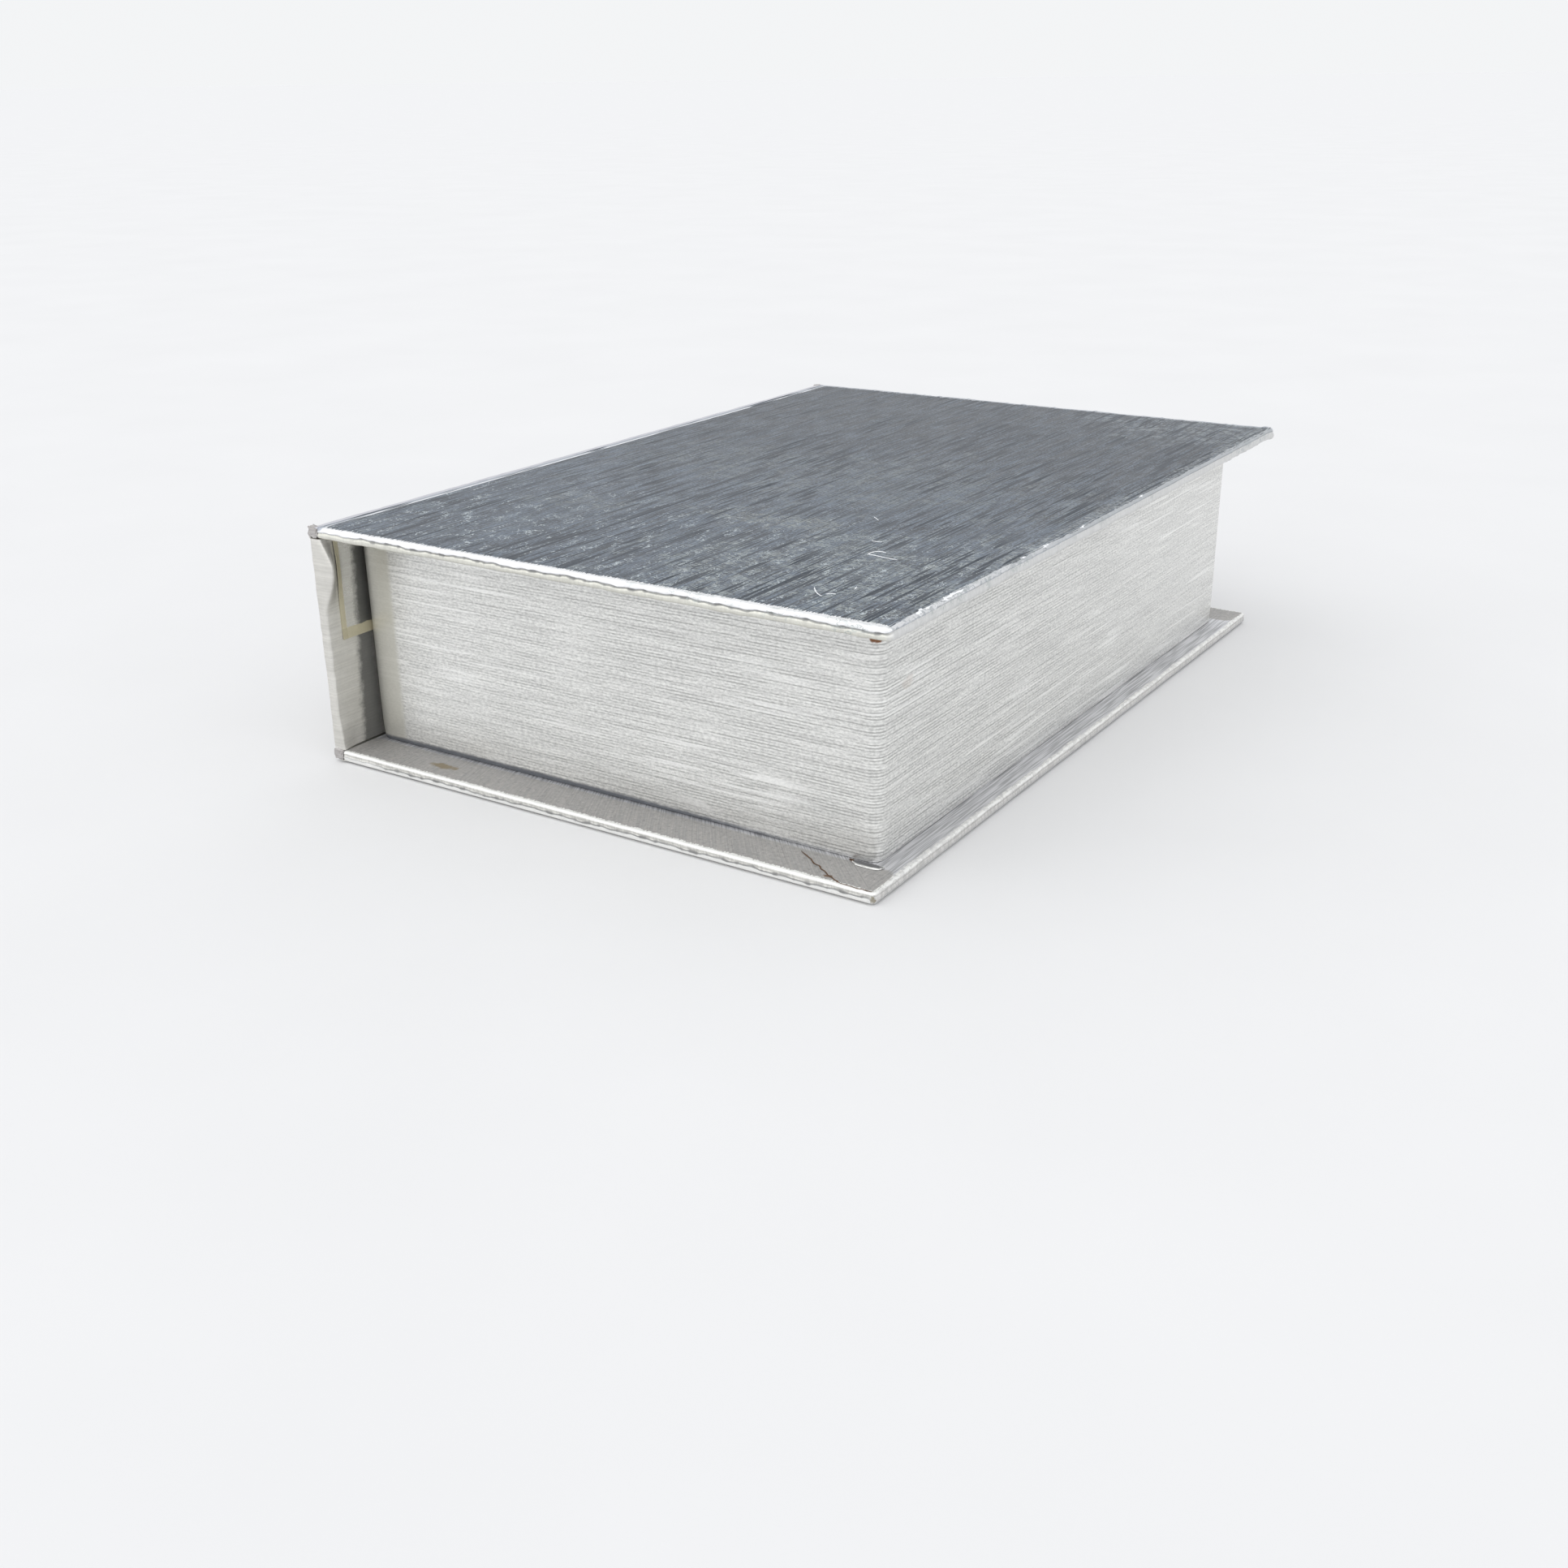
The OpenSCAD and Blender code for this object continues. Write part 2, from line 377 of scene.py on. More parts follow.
@dataclass(frozen=True)
class Foil:
    """Line-embossed silver foil paper."""

    name: str
    tone: Colour
    shade: Colour
    rubbed: Colour
    metallic: float = 0.75
    roughness: float = 0.38
    pitch: float = 0.47
    lines: float = 0.25
    strands: float = 0.3
    hairs: float = 0.3
    grit: float = 0.1
    patches: float = 0.3
    rubs: float = 0.3
    relief: float = 0.010
    layout: Layout = Layout.SHEET
    fold: FoldLook | None = None
    marks: tuple[Mark, ...] = ()
    smooth_band: tuple[float, float] | None = None
    crisp_at: tuple[float, float] | None = None
    # Paints shade into the slot between the spine and the tray at the tail end.
    slot_dark: bool = False
    cream: tuple[tuple[int, float], ...] = ()
    streaks: float = 0.0
    lane: float = 0.74
    glints: float = 0.0
    fades_toward_head: bool = False

    def coordinates(self, s: Shader, x: Signal, y: Signal, z: Signal) -> tuple[Signal, Signal]:
        """Coordinates along and across the lines.

        Args:
            s: Shader to build in.
            x: Position along X, in millimetres.
            y: Position along Y.
            z: Position along Z.

        Returns:
            The two coordinates in millimetres.
        """
        if self.layout is Layout.ALONG_Y:
            return y, x
        return (x + y, z) if self.layout is Layout.LEVEL else s.grain_of("grain")

    def dashes(self, at: Reading) -> Signal:
        """Dark dashes, which lie one after another in lanes along the lines of the open face.

        Args:
            at: What the foil reads.

        Returns:
            Their cover, up to the foil's streaks.
        """
        s, u, v = at.s, at.along, at.across
        across = v * (1 / self.lane) + s.drawn(u * 0.015, v * 0.5, 14.0) * 2.2
        lane = across.floor()
        off = abs(across - lane - 0.5)
        taper = s.drawn(u * 0.09, lane * 3.7, 12.0, 1.0, 0.35) - 0.5
        gate = s.drawn(u * 0.03, v * 0.06, 15.0).step(0.30, 0.55) * 0.7 + 0.3
        open_face = s.grain_of("edge")[1].step(-0.5, -0.8)
        return (taper * 2.6 + 0.06 - off).step(0.0, 0.05) * gate * open_face * self.streaks

    def crumbs(self, at: Reading) -> Signal:
        """Short pale rubs in loose groups, most of them on the tail half.

        Args:
            at: What the foil reads.

        Returns:
            Their cover.
        """
        s, u, v = at.s, at.along, at.across
        group = s.drawn(u * 0.30, v * 0.45, 18.0, 3.0, 0.6).step(0.50, 0.58)
        rub = abs(s.drawn(u * 0.7, v * 0.9, 19.0, 2.0) - 0.5).step(0.030, 0.010)
        tail_half = at.y.step(-10.0, -60.0) * 0.85 + 0.15
        return rub * group * tail_half

    def painted_slot_shade(self, at: Reading) -> Signal:
        """Painted shade with a ragged outline at the tail end of the spine's inner face, in the slot beside
        the tray.

        Args:
            at: What the foil reads.

        Returns:
            Its cover.
        """
        ragged = (at.s.cloud(at.place, 0.9, 5.0, 0.7) - 0.5) * 2.2
        tail_end = (abs(at.y) + at.z * 0.052 + ragged).step(72.2, 70.6)
        return tail_end * (at.y + ragged * 0.7).step(-63.5, -68.0) * at.x.step(-52.0, -51.7)

    def core(self, at: Reading, axis: int, limit: float) -> Signal:
        """Bare paper past a sheet's cut edge, whose line wobbles a little.

        Args:
            at: What the foil reads.
            axis: 0 across toward the fore-edge, 1 out from the middle, 2 down.
            limit: Where the edge lies on that axis, in millimetres.

        Returns:
            Its cover.
        """
        wobble = (at.s.cloud(at.place, 0.8, 3.0) - 0.5) * 0.4
        reach = (at.x, abs(at.y), at.z * -1.0)[axis] + wobble
        return reach.step(limit - 0.08, limit + 0.08)

    def material(self) -> bpy.types.Material:
        """Builds the finish.

        Returns:
            The new material.
        """
        material, s = new_material(self.name)
        place = s.place()
        x, y, z = s.parts(place)
        u, v = self.coordinates(s, x, y, z)
        at = Reading(s, place, x, y, z, u, v)
        wander = s.drawn(u * 0.012, v * 0.22)
        line = (v * (TAU / self.pitch) + wander * 4.0).sine().step(-0.1, 0.85)
        strand = s.drawn(u * 0.035, v * 1.3, 3.0).step(0.36, 0.64) - 0.5
        hair = s.drawn(u * 0.12, v * 3.2, 9.0).step(0.36, 0.64) - 0.5
        grit = s.drawn(u * 1.5, v * 3.2, 7.0, 2.0, 0.7).step(0.34, 0.66) - 0.5
        cover = s.drawn(u * 0.085, v * 1.5, 5.0, 2.0).step(0.38, 0.58)
        line = line * (cover * 0.85 + 0.15)
        if self.crisp_at:
            away = s.vector("LENGTH", s.joined(x - self.crisp_at[0], y - self.crisp_at[1]), output=1)
            corner = away.step(1.9, 1.3)
            line = line * (away.step(125.0, 15.0) * 0.75 + 0.25).most(corner * 1.5)
        mottle = s.cloud(place, 0.22, 4.0, 0.62) - 0.5
        plain = 1.0
        if self.smooth_band:
            p, _ = s.grain_of("edge")
            low, high = self.smooth_band
            band = p.step(low - 0.2, low + 0.2) * p.step(high + 0.6, high - 0.6)
            plain = 1.0 - band * 0.7
        lined = strand * self.strands + hair * self.hairs - line * self.lines
        level = lined * plain + grit * self.grit + mottle * self.patches + 0.55
        # Darker towards the head end.
        if self.fades_toward_head:
            level = level - y.step(-35.0, 45.0) * 0.26
        colour = s.mix(self.shade, self.tone, level)
        rub = s.drawn(u * 0.10, v * 0.26, 1.0, 5.0, 0.68)
        rub = rub.step(0.52, 0.74) * ((hair + 0.5) * 0.6 + 0.4) * self.rubs
        # Fewer rubs towards the head end and the fore-edge.
        if self.fades_toward_head:
            rub = rub * ((y + x * 0.3) * -0.01 + 1.0)
        colour = s.mix(colour, self.rubbed, rub)
        rough = rub * 0.22 + strand * 0.06 + self.roughness
        if self.streaks:
            colour = s.mix(colour, tuple(c * 1.5 for c in self.rubbed), self.crumbs(at))
        if self.glints:
            thin = s.drawn(u * 0.05, v * 1.7, 23.0, 0.0).step(0.62, 0.65)
            held = s.drawn(u * 0.02, v * 0.07, 25.0).step(0.44, 0.58)
            colour = s.mix(colour, GLINT, thin * held * self.glints)
        if self.smooth_band:
            colour = s.mix(colour, HANDLED_BAND, band * 0.8)
        if self.fold:
            colour, rough = self.folded(s, colour, rough, hair, (x, y))
        # Painted shade in the slot between the spine and the tray, at the tail end.
        if self.slot_dark:
            painted_slot_shade = self.painted_slot_shade(at)
            colour = s.mix(colour, PAINTED_SLOT_SHADE, painted_slot_shade * 0.80)
            rough = rough + painted_slot_shade * 0.25
        for axis, limit in self.cream:
            core = self.core(at, axis, limit)
            colour = s.mix(colour, CUT_PAPER, core)
            rough = rough + core * 0.3
        for mark in self.marks:
            mask = mark.mask(s, place)
            colour = s.mix(colour, mark.colour, mask)
            rough = rough + mask * (mark.rough - self.roughness)
        if self.streaks:
            colour = s.mix(colour, DASH, self.dashes(at))
        height = (strand * 0.4 + hair * 0.3 - line * 0.7) * plain
        s.surface(colour, rough, self.metallic, height + mottle * 3.0, self.relief)
        return material

    def folded(
        self, s: Shader, colour: Signal, rough: Signal, hair: Signal, plan: tuple[Signal, Signal]
    ) -> tuple[Signal, Signal]:
        """Adds the fold's wear and painted highlight, its wavy crease with painted shade, and what shows of
        the turned-in paper.

        Args:
            s: Shader to build in.
            colour: Colour so far.
            rough: Roughness so far.
            hair: Fine noise along the lines, which makes the fold ragged across them.
            plan: Position along X and Y.

        Returns:
            The new colour and roughness.
        """
        look = self.fold
        x, y = plan
        p, q = s.grain_of("edge")
        wave = wavy(p) * CREASE_WAVE
        tail = p.step(look.tail_end + 1.5, look.tail_end - 0.5)
        soft = s.drawn(p * 0.35, 0.0, 21.0, 3.0) - 0.5
        broken = s.drawn(p * 0.8, q * 1.3, 31.0, 4.0, 0.65).step(0.43, 0.52)
        far_side = p.step(look.tail_end + 153.0, look.tail_end + 156.0)
        near = p.step(look.tail_end + 70.0, look.tail_end + 20.0)
        start = q + hair * 0.5 + soft * 0.6 + far_side * 0.7 + tail * (p * 0.0055 - 0.22) + near * 0.15
        start = start - (1.0 - tail) * (look.narrow + (broken - 0.5) * look.narrow * 1.6)
        below = q - tail * (wave + 0.35)
        # Wear and painted highlight along the fold, brightest on the tail side.
        wear_and_highlight = start.step(-0.42, -0.16) * below.step(0.82, 0.5)
        low = below.step(0.62, 0.8)
        ticks = s.drawn(p * 2.6, q * 0.4, 41.0).step(0.40, 0.60)
        band = s.dimmed(s.mix(look.band, look.tail_band, tail), 1.0 - ticks * look.ticks)
        colour = s.mix(colour, band, low * q.step(2.6, 2.2) * 0.9)
        fold_tone = s.mix(look.far_worn, look.wear_and_highlight, tail.most(broken * near))
        colour = s.mix(colour, fold_tone, wear_and_highlight * (tail * 0.2 + 0.8))
        # Painted shade: a dark wavy line in the crease under the fold, widening in lens-shaped spots.
        lens = s.drawn(p * 0.55, 0.0, 51.0).step(0.46, 0.62)
        crease = abs(q - CREASE_AT - wave - soft * 0.45).step(lens * 0.20 + 0.16, 0.06)
        colour = s.mix(colour, look.crease, crease * tail * p.step(2.0, 14.0) * (lens * 0.25 + 0.65))
        rough = rough + wear_and_highlight * 0.02 + low * 0.10
        inner = s.dimmed(look.inner, hair * 0.3 + 1.0)
        cover = q.step(2.0, 2.35)
        if not look.matt:
            return s.mix(colour, inner, cover), rough
        upper = (q + hair * 0.35 + soft * 0.35).step(2.62, 2.36) * q.step(1.6, 1.85)
        upper = upper * (tail * 0.55 + 0.45).most(broken)
        curve = ((x - 48.8) * (1 / 2.2)).most(0.0) ** 3.0
        margin = (abs(y) - curve * 2.4).step(68.6, 69.4)
        inner = s.mix(inner, look.matt, margin)
        grain = s.cloud(s.joined(x, y), 1.5, 5.0, 0.8)
        inner = s.mix(inner, tuple(c * 0.62 for c in look.matt), grain.step(0.52, 0.66) * margin * 0.8)
        inner = s.mix(inner, tuple(c * 1.3 for c in look.matt), grain.step(0.47, 0.36) * margin * 0.7)
        colour = s.mix(colour, inner, cover * (hair * 0.25 + 0.85))
        colour = s.mix(colour, look.wear_and_highlight, upper)
        return colour, rough + cover * margin * 0.16


def wavy(p: Signal | float) -> Signal | float:
    """Slow wave along a fold, between about -1 and 1, for shaders and meshes alike."""
    sine = math.sin if isinstance(p, float) else Signal.sine
    return sine(p * 0.33 + 0.4) * 0.42 + sine(p * 0.92 + 2.0) * 0.34 + sine(p * 2.3 + 1.1) * 0.24


@dataclass(frozen=True)
class Pulp:
    """Matt fibrous stock: greyboard, gummed tape or torn paper."""

    name: str
    tone: Colour
    shade: Colour
    fibre: float = 2.2
    roughness: float = 0.86
    relief: float = 0.04

    def material(self) -> bpy.types.Material:
        """Builds the finish.

        Returns:
            The new material.
        """
        material, s = new_material(self.name)
        place = s.place()
        x, y, z = s.parts(place)
        fibre = s.cloud(s.joined(x * 0.6, y * 0.25, z), self.fibre, 5.0, 0.7)
        fleck = s.cloud(place, self.fibre * 3.0, 2.0, 0.6)
        level = (fibre - 0.5) * 1.6 + (fleck - 0.5) * 0.8 + 0.5
        colour = s.mix(self.shade, self.tone, level)
        rough = (fleck - 0.5) * 0.1 + self.roughness
        s.surface(colour, rough, 0.0, fibre + fleck * 0.5, self.relief, 0.8)
        return material


def angles(count: int, turn: float = QUARTER) -> list[float]:
    """Angles from 0 to a turn in even steps."""
    return [turn * i / count for i in range(count + 1)]


def added(name: str, data: bpy.types.ID) -> bpy.types.Object:
    """Puts an object into the scene.

    Args:
        name: Its name.
        data: Its mesh, camera or light.

    Returns:
        The new object.
    """
    made = bpy.data.objects.new(name, data)
    bpy.context.collection.objects.link(made)
    return made


@dataclass(frozen=True)
class Knot:
    """One point of a sheet with the sheet's own coordinates."""

    point: Vector
    normal: Vector
    grain: tuple[float, float]
    edge: tuple[float, float]


@dataclass
class Sheet:
    """Paper under construction, as rows of knots that are joined to a surface."""

    name: str
    thickness: float = PAPER
    rows: list[list[Knot]] = field(default_factory=list)

    def build(self) -> bpy.types.Object:
        """Joins the rows, merges what coincides and gives the sheet its thickness.

        Returns:
            The new object.
        """
        knots = [knot for row in self.rows for knot in row]
        width = len(self.rows[0])
        faces = [
            (r * width + c, r * width + c + 1, (r + 1) * width + c + 1, (r + 1) * width + c)
            for r in range(len(self.rows) - 1)
            for c in range(width - 1)
        ]
        mesh = bpy.data.meshes.new(self.name)
        mesh.from_pydata([knot.point / MM for knot in knots], [], faces)
        for layer, values in (("grain", [k.grain for k in knots]), ("edge", [k.edge for k in knots])):
            uv = mesh.uv_layers.new(name=layer)
            uv.data.foreach_set("uv", [c for loop in mesh.loops for c in values[loop.vertex_index]])
        work = bmesh.new()
        work.from_mesh(mesh)
        work.verts.ensure_lookup_table()
        agree = sum(
            face.normal.dot(knots[face.verts[0].index].normal) * face.calc_area() for face in work.faces
        )
        if agree < 0:
            bmesh.ops.reverse_faces(work, faces=work.faces)
        bmesh.ops.remove_doubles(work, verts=work.verts, dist=MERGE_M)
        work.to_mesh(mesh)
        work.free()
        made = added(self.name, mesh)
        solid = made.modifiers.new("thickness", "SOLIDIFY")
        solid.thickness = self.thickness / MM
        solid.offset = -1.0
        solid.material_offset_rim = 1
        applied(made)
        made.data.set_sharp_from_angle(angle=math.radians(SHARP_DEG))
        return made


def applied(made: bpy.types.Object) -> None:
    """Turns an object's modifiers into its mesh.

    Args:
        made: The object.
    """
    depsgraph = bpy.context.evaluated_depsgraph_get()
    mesh = bpy.data.meshes.new_from_object(made.evaluated_get(depsgraph))
    mesh.name = made.name
    made.modifiers.clear()
    made.data = mesh
    mesh.polygons.foreach_set("use_smooth", [True] * len(mesh.polygons))


def dress(made: bpy.types.Object, *materials: bpy.types.Material) -> None:
    """Gives an object its materials, first the face and then the cut edge.

    Args:
        made: The object.
        materials: Its materials in order.
    """
    made.data.materials.clear()
    for material in materials:
        made.data.materials.append(material)


def spread(low: float, high: float, gap: float) -> list[float]:
    """Even stops from low to high, at most a gap apart."""
    count = max(1, math.ceil(abs(high - low) / gap))
    return [low + (high - low) * i / count for i in range(count + 1)]


@dataclass(frozen=True)
class Stop:
    """One line of a panel's section: how far in from the outline, how deep, and which way it faces."""

    inset: float
    depth: float
    lean: float
    arc: float


def wrapped_section(deepest: float, turn_in: float, thick: float, fold: float) -> list[Stop]:
    """Section of paper from the middle of an outer face, round the edge, to its cut inside.

    Args:
        deepest: Inset of the first line on the outer face.
        turn_in: Inset of the last line on the inner face.
        thick: Thickness of the covered board.
        fold: Radius of both folds.

    Returns:
        The section's stops from the outer face to the inner one.
    """
    quarter = QUARTER * fold
    insets = [deepest, 60, 44, 30, 20, 13, 8, 5, 3.2, 2.2, 1.5, 1.0, 0.7]
    stops = [Stop(d, 0.0, 0.0, fold - d) for d in insets if d <= deepest]
    for a in angles(6):
        stops.append(Stop(fold * (1 - math.sin(a)), fold * (1 - math.cos(a)), a, fold * a))
    for depth in spread(fold, thick - fold, 0.12)[1:-1]:
        stops.append(Stop(0.0, depth, QUARTER, quarter + depth - fold))
    low = quarter + thick - 2 * fold
    for a in angles(6):
        inset, depth = fold * (1 - math.cos(a)), thick - fold * (1 - math.sin(a))
        stops.append(Stop(inset, depth, QUARTER + a, low + fold * a))
    for inset in (0.8, 1.3, 2, 3, 4.5, 6.5, 9, 11.5, turn_in):
        stops.append(Stop(inset, thick, math.pi, low + quarter + inset - fold))
    return stops


@dataclass(frozen=True)
class Station:
    """A place on an outline that stays itself at every inset."""

    side: int
    share: tuple[float, float]
    normal: Vector
    along: float


@dataclass(frozen=True)
class Outline:
    """Outline in plan with round corners, closed or open at the side toward the spine."""

    low: Vector
    high: Vector
    corner_r: float
    closed: bool
    gaps: tuple[float, ...]
    arc_steps: int

    def stations(self) -> list[Station]:
        """Goes round by the tail, from the spine side's middle or from its end where it is open.

        Returns:
            The stations in order.
        """
        middle = [(0.0, 0.5)] if self.closed else []
        corners = middle + [(0.0, 0.0), (1.0, 0.0), (1.0, 1.0), (0.0, 1.0)] + middle
        wide = self.high.x - self.low.x - (2 if self.closed else 1) * self.corner_r
        long = self.high.y - self.low.y - 2 * self.corner_r
        arc = QUARTER * self.corner_r
        made: list[Station] = []
        run = 0.0
        for leg, ((u0, v0), (u1, v1)) in enumerate(zip(corners, corners[1:])):
            length = abs(u1 - u0) * wide + abs(v1 - v0) * long
            turn = QUARTER * (leg - (2 if self.closed else 1))
            for share in spread(0, 1, self.gaps[leg] / length):
                place = (u0 + share * (u1 - u0), v0 + share * (v1 - v0))
                normal = Vector((math.cos(turn), math.sin(turn), 0))
                made.append(Station(2 * leg, place, normal, run + share * length))
            run += length
            for a in angles(self.arc_steps)[1:-1]:
                normal = Vector((math.cos(turn + a), math.sin(turn + a), 0))
                made.append(Station(2 * leg + 1, (u1, v1), normal, run + a * self.corner_r))
            run += arc
        return made[:1 - self.arc_steps]

    def plan(self, station: Station, inset: float) -> Vector:
        """Place of a station in plan.

        Args:
            station: The station.
            inset: How far in from the outline.

        Returns:
            The point, at Z = 0.
        """
        keep = max(self.corner_r, inset)
        low = self.low + Vector((keep if self.closed else 0, keep, 0))
        size = self.high - Vector((keep, keep, 0)) - low
        u, v = station.share
        near = Vector((low.x + u * size.x, low.y + v * size.y, 0))
        return near + station.normal * max(self.corner_r - inset, 0.0)


@dataclass
class Panel:
    """Cover sheet of a flat panel that is wrapped on three sides and open at its hinge."""

    name: str
    node: str
    up: float
    relief: Callable[[Station, float, Vector], float]
    gaps: tuple[float, ...] = (0.45, 0.5, 0.45)
    corner_steps: int = 6

    def build(self) -> bpy.types.Object:
        """Builds the sheet.

        Returns:
            The new object.
        """
        sheet = Sheet(self.name)
        low, high = cad_box(self.node)
        outline = Outline(low, high, CORNER_R, False, self.gaps, self.corner_steps)
        outer_z = high.z if self.up > 0 else low.z
        rising = Vector((0, 0, self.up))
        stations = outline.stations()
        for stop in wrapped_section(high.y, TURN_IN, BOARD_COVERED, FOLD_R):
            row = []
            for station in stations:
                flat = outline.plan(station, stop.inset)
                normal = rising * math.cos(stop.lean) + station.normal * math.sin(stop.lean)
                point = flat + Vector((0, 0, outer_z - self.up * stop.depth))
                point += normal * self.relief(station, stop.arc, flat)
                laid = flat if stop.arc < 0 else outline.plan(station, FOLD_R) + station.normal * stop.arc
                row.append(Knot(point, normal, (laid.y, laid.x), (station.along, stop.arc)))
            sheet.rows.append(row)
        return sheet.build()


@dataclass(frozen=True)
class Finishes:
    """The materials that the classes share."""

    board: bpy.types.Material
    tape: bpy.types.Material
    core: bpy.types.Material


# The lid is the same silver foil as the tray walls, but its colours are dark blue-grey: a painted reflection
# of a dark surround, with the rubs darkened to match.
LID_PAINTED_REFLECTION_DARK: Colour = (0.020, 0.026, 0.036)
LID_PAINTED_REFLECTION_TONE: Colour = (0.184, 0.230, 0.292)
LID_RUBBED_ON_PAINTED_REFLECTION: Colour = (0.36, 0.40, 0.42)


@dataclass
class Lid:
    """Foil cover of the lid with its turn-ins."""

    finishes: Finishes
    crease_depth: float = 0.16
    corner_lift: float = 0.30

    def relief(self, station: Station, arc: float, flat: Vector) -> float:
        """How far the paper stands off its board.

        Args:
            station: Place on the outline.
            arc: Distance across the fold, from its start on the outer face.
            flat: The point in plan.

        Returns:
            The rise in millimetres.
        """
        side, along = station.side, station.along
        edge = ease(arc, -1.2, 0.2) * ease(arc, 3.2, 2.2)
        rise = edge * (0.10 * ripple(along * 0.16, 0, 1) + 0.07 * ripple(along * 0.55, arc, 2))
        band = ease(arc, 0.6, 1.2) * ease(arc, 2.6, 1.9)
        rise += band * (0.10 + 0.08 * ripple(along * 0.35, 3, 3))
        groove = ease(abs(arc - CREASE_AT - CREASE_WAVE * wavy(float(along))), 0.24, 0.06)
        rise -= self.crease_depth * groove * (1 if side in (0, 1) else 0.4)
        if side >= 2:
            rise += edge * 0.12 * ease(ripple(along * 0.9, 5, 4), 0.25, 0.6)
        tip = math.hypot(flat.x - 53.0, flat.y - 76.2)
        return rise + self.corner_lift * ease(tip, 2.6, 0.4) * ease(arc, -2, 0.3) * ease(arc, 3, 2)

    def build(self) -> None:
        """Builds and dresses the lid."""
        low, high = cad_box("lid_cover")
        cover = Panel("lid_sheet", "lid_cover", 1.0, self.relief).build()
        x1, y1 = high.x - 0.3, high.y - 0.3
        foil = Foil(
            "lid_foil", LID_PAINTED_REFLECTION_TONE, LID_PAINTED_REFLECTION_DARK, LID_RUBBED_ON_PAINTED_REFLECTION, metallic=0.85, roughness=0.38,
            lines=0.22, strands=0.18, hairs=0.45, grit=0.6, patches=0.85, rubs=0.50, relief=0.012,
            streaks=1.0, fades_toward_head=True, fold=FoldLook(tail_end=high.x - low.x - CORNER_R, narrow=0.14),
            marks=(
                Mark((36, -56, 40), (34, 26, 1.7), (0.47, 0.51, 0.50), 0.50, 1.6, 0.16, 0.5, 0.55, 0.6),
                Mark((4, -4, 40), (55, 22, 1.7), (0.36, 0.39, 0.38), 0.30, 1.6, 0.14, 0.5, 0.45, 0.33),
                Mark((-26, -41, 40), (13, 5, 1.7), (0.36, 0.38, 0.36), 0.34, 1.5, 0.15, 0.5, 0.5, 0.5),
                Mark((10, -35.5, 40), (16, 6, 1.7), (0.40, 0.42, 0.39), 0.45, 1.5, 0.15, 0.5, 0.5, 0.5),
                Mark((42, 70, 40), (26, 22, 1.7), (0.42, 0.46, 0.48), 0.55, 1.0, 0.16, 0.5, 0.5),
                Mark((51.6, 20, 40), (1.6, 95, 1.7), (0.44, 0.47, 0.48), 0.7, 0.9, 0.4, 0.5, 1.1),
                Mark((low.x, 0, high.z), (1.35, 260, 0.8), (0.46, 0.49, 0.54), 1.0, 0.12, 0.5, 0.5),
                Mark((low.x + 1.1, 0, high.z), (0.3, 260, 0.6), (0.88, 0.89, 0.91), 1.0, 0.35, 0.6, 0.4),
                Mark((0, high.y, high.z), (200, 1.3, 0.8), (0.46, 0.49, 0.54), 0.9, 0.25, 0.4, 0.5),
                Mark((x1, y1, 39.7), (1.3, 1.3, 1.0), (0.92, 0.93, 0.95), 1.0, 0.3, 0.8, 0.4),
            ),
        )
        dress(cover, foil.material(), self.finishes.core)
        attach(cover, "lid")
        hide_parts("lid_cover")
        log.info("lid cover: %d faces", len(cover.data.polygons))


@dataclass
class Base:
    """Foil cover of the base, whose turn-ins show round the tray."""

    finishes: Finishes
    crease_at: float = 1.35
    crease_wave: float = 0.16
    crease_depth: float = 0.10

    def relief(self, station: Station, arc: float, flat: Vector) -> float:
        """How far the paper stands off its board.

        Args:
            station: Place on the outline.
            arc: Distance across the fold, from its start on the outer face.
            flat: The point in plan; not used.

        Returns:
            The rise in millimetres.
        """
        if arc < 0.2:
            return 0.0
        along = float(station.along)
        edge = ease(arc, 0.2, 0.9) * ease(arc, 5.0, 2.4)
        rise = edge * (0.10 * ripple(along * 0.14, 0, 11) + 0.07 * ripple(along * 0.6, arc, 12) + 0.05)
        groove = ease(abs(arc - self.crease_at - self.crease_wave * wavy(along)), 0.20, 0.06)
        return rise - self.crease_depth * groove

    def build(self) -> None:
        """Builds and dresses the base."""
        low, high = cad_box("base_cover")
        cover = Panel("base_sheet", "base_cover", -1.0, self.relief).build()
        foil = Foil(
            "base_foil", (0.46, 0.48, 0.50), (0.14, 0.15, 0.16), (0.52, 0.53, 0.54),
            metallic=0.75, roughness=0.42, lines=0.2, strands=0.3, hairs=0.4, patches=0.4, rubs=0.4,
            fold=FoldLook(
                tail_end=high.x - low.x - CORNER_R, wear_and_highlight=(0.90, 0.90, 0.88), band=(0.74, 0.73, 0.71),
                tail_band=(0.78, 0.77, 0.73), far_worn=(0.74, 0.74, 0.74), ticks=0.16,
                matt=(0.50, 0.485, 0.47),
            ),
            marks=(
                Mark((-31.9, -72.6, 1.8), (3.4, 1.1, 1.5), (0.30, 0.24, 0.13), 0.7, 0.6, 0.9, 0.7),
                Mark((51.2, -76.6, 0.7), (0.8, 0.8, 0.9), (0.30, 0.27, 0.20), 0.8, 1.0, 2.2, 0.7),
                Mark((42.8, -74.9, 1.8), (1.0, 0.45, 0.5), (0.22, 0.13, 0.07), 0.8, 0.9, 1.8, 0.8),
            ),
        )
        dress(cover, foil.material(), self.finishes.core)
        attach(cover, "base")
        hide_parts("base_cover")
        log.info("base cover: %d faces", len(cover.data.polygons))


CRUMPLES = (
    ("upper_tail_crumple", (-52.25, -76.1, 39.15), (1.25, 0.75, 1.15), 3.0),
    ("lower_tail_crumple", (-52.2, -76.1, 1.2), (1.25, 0.85, 1.1), 8.0),
    ("upper_head_crumple", (-52.25, 76.1, 39.1), (1.25, 0.75, 1.1), 12.0),
    ("lower_head_crumple", (-52.2, 76.1, 1.2), (1.25, 0.8, 1.1), 16.0),
)


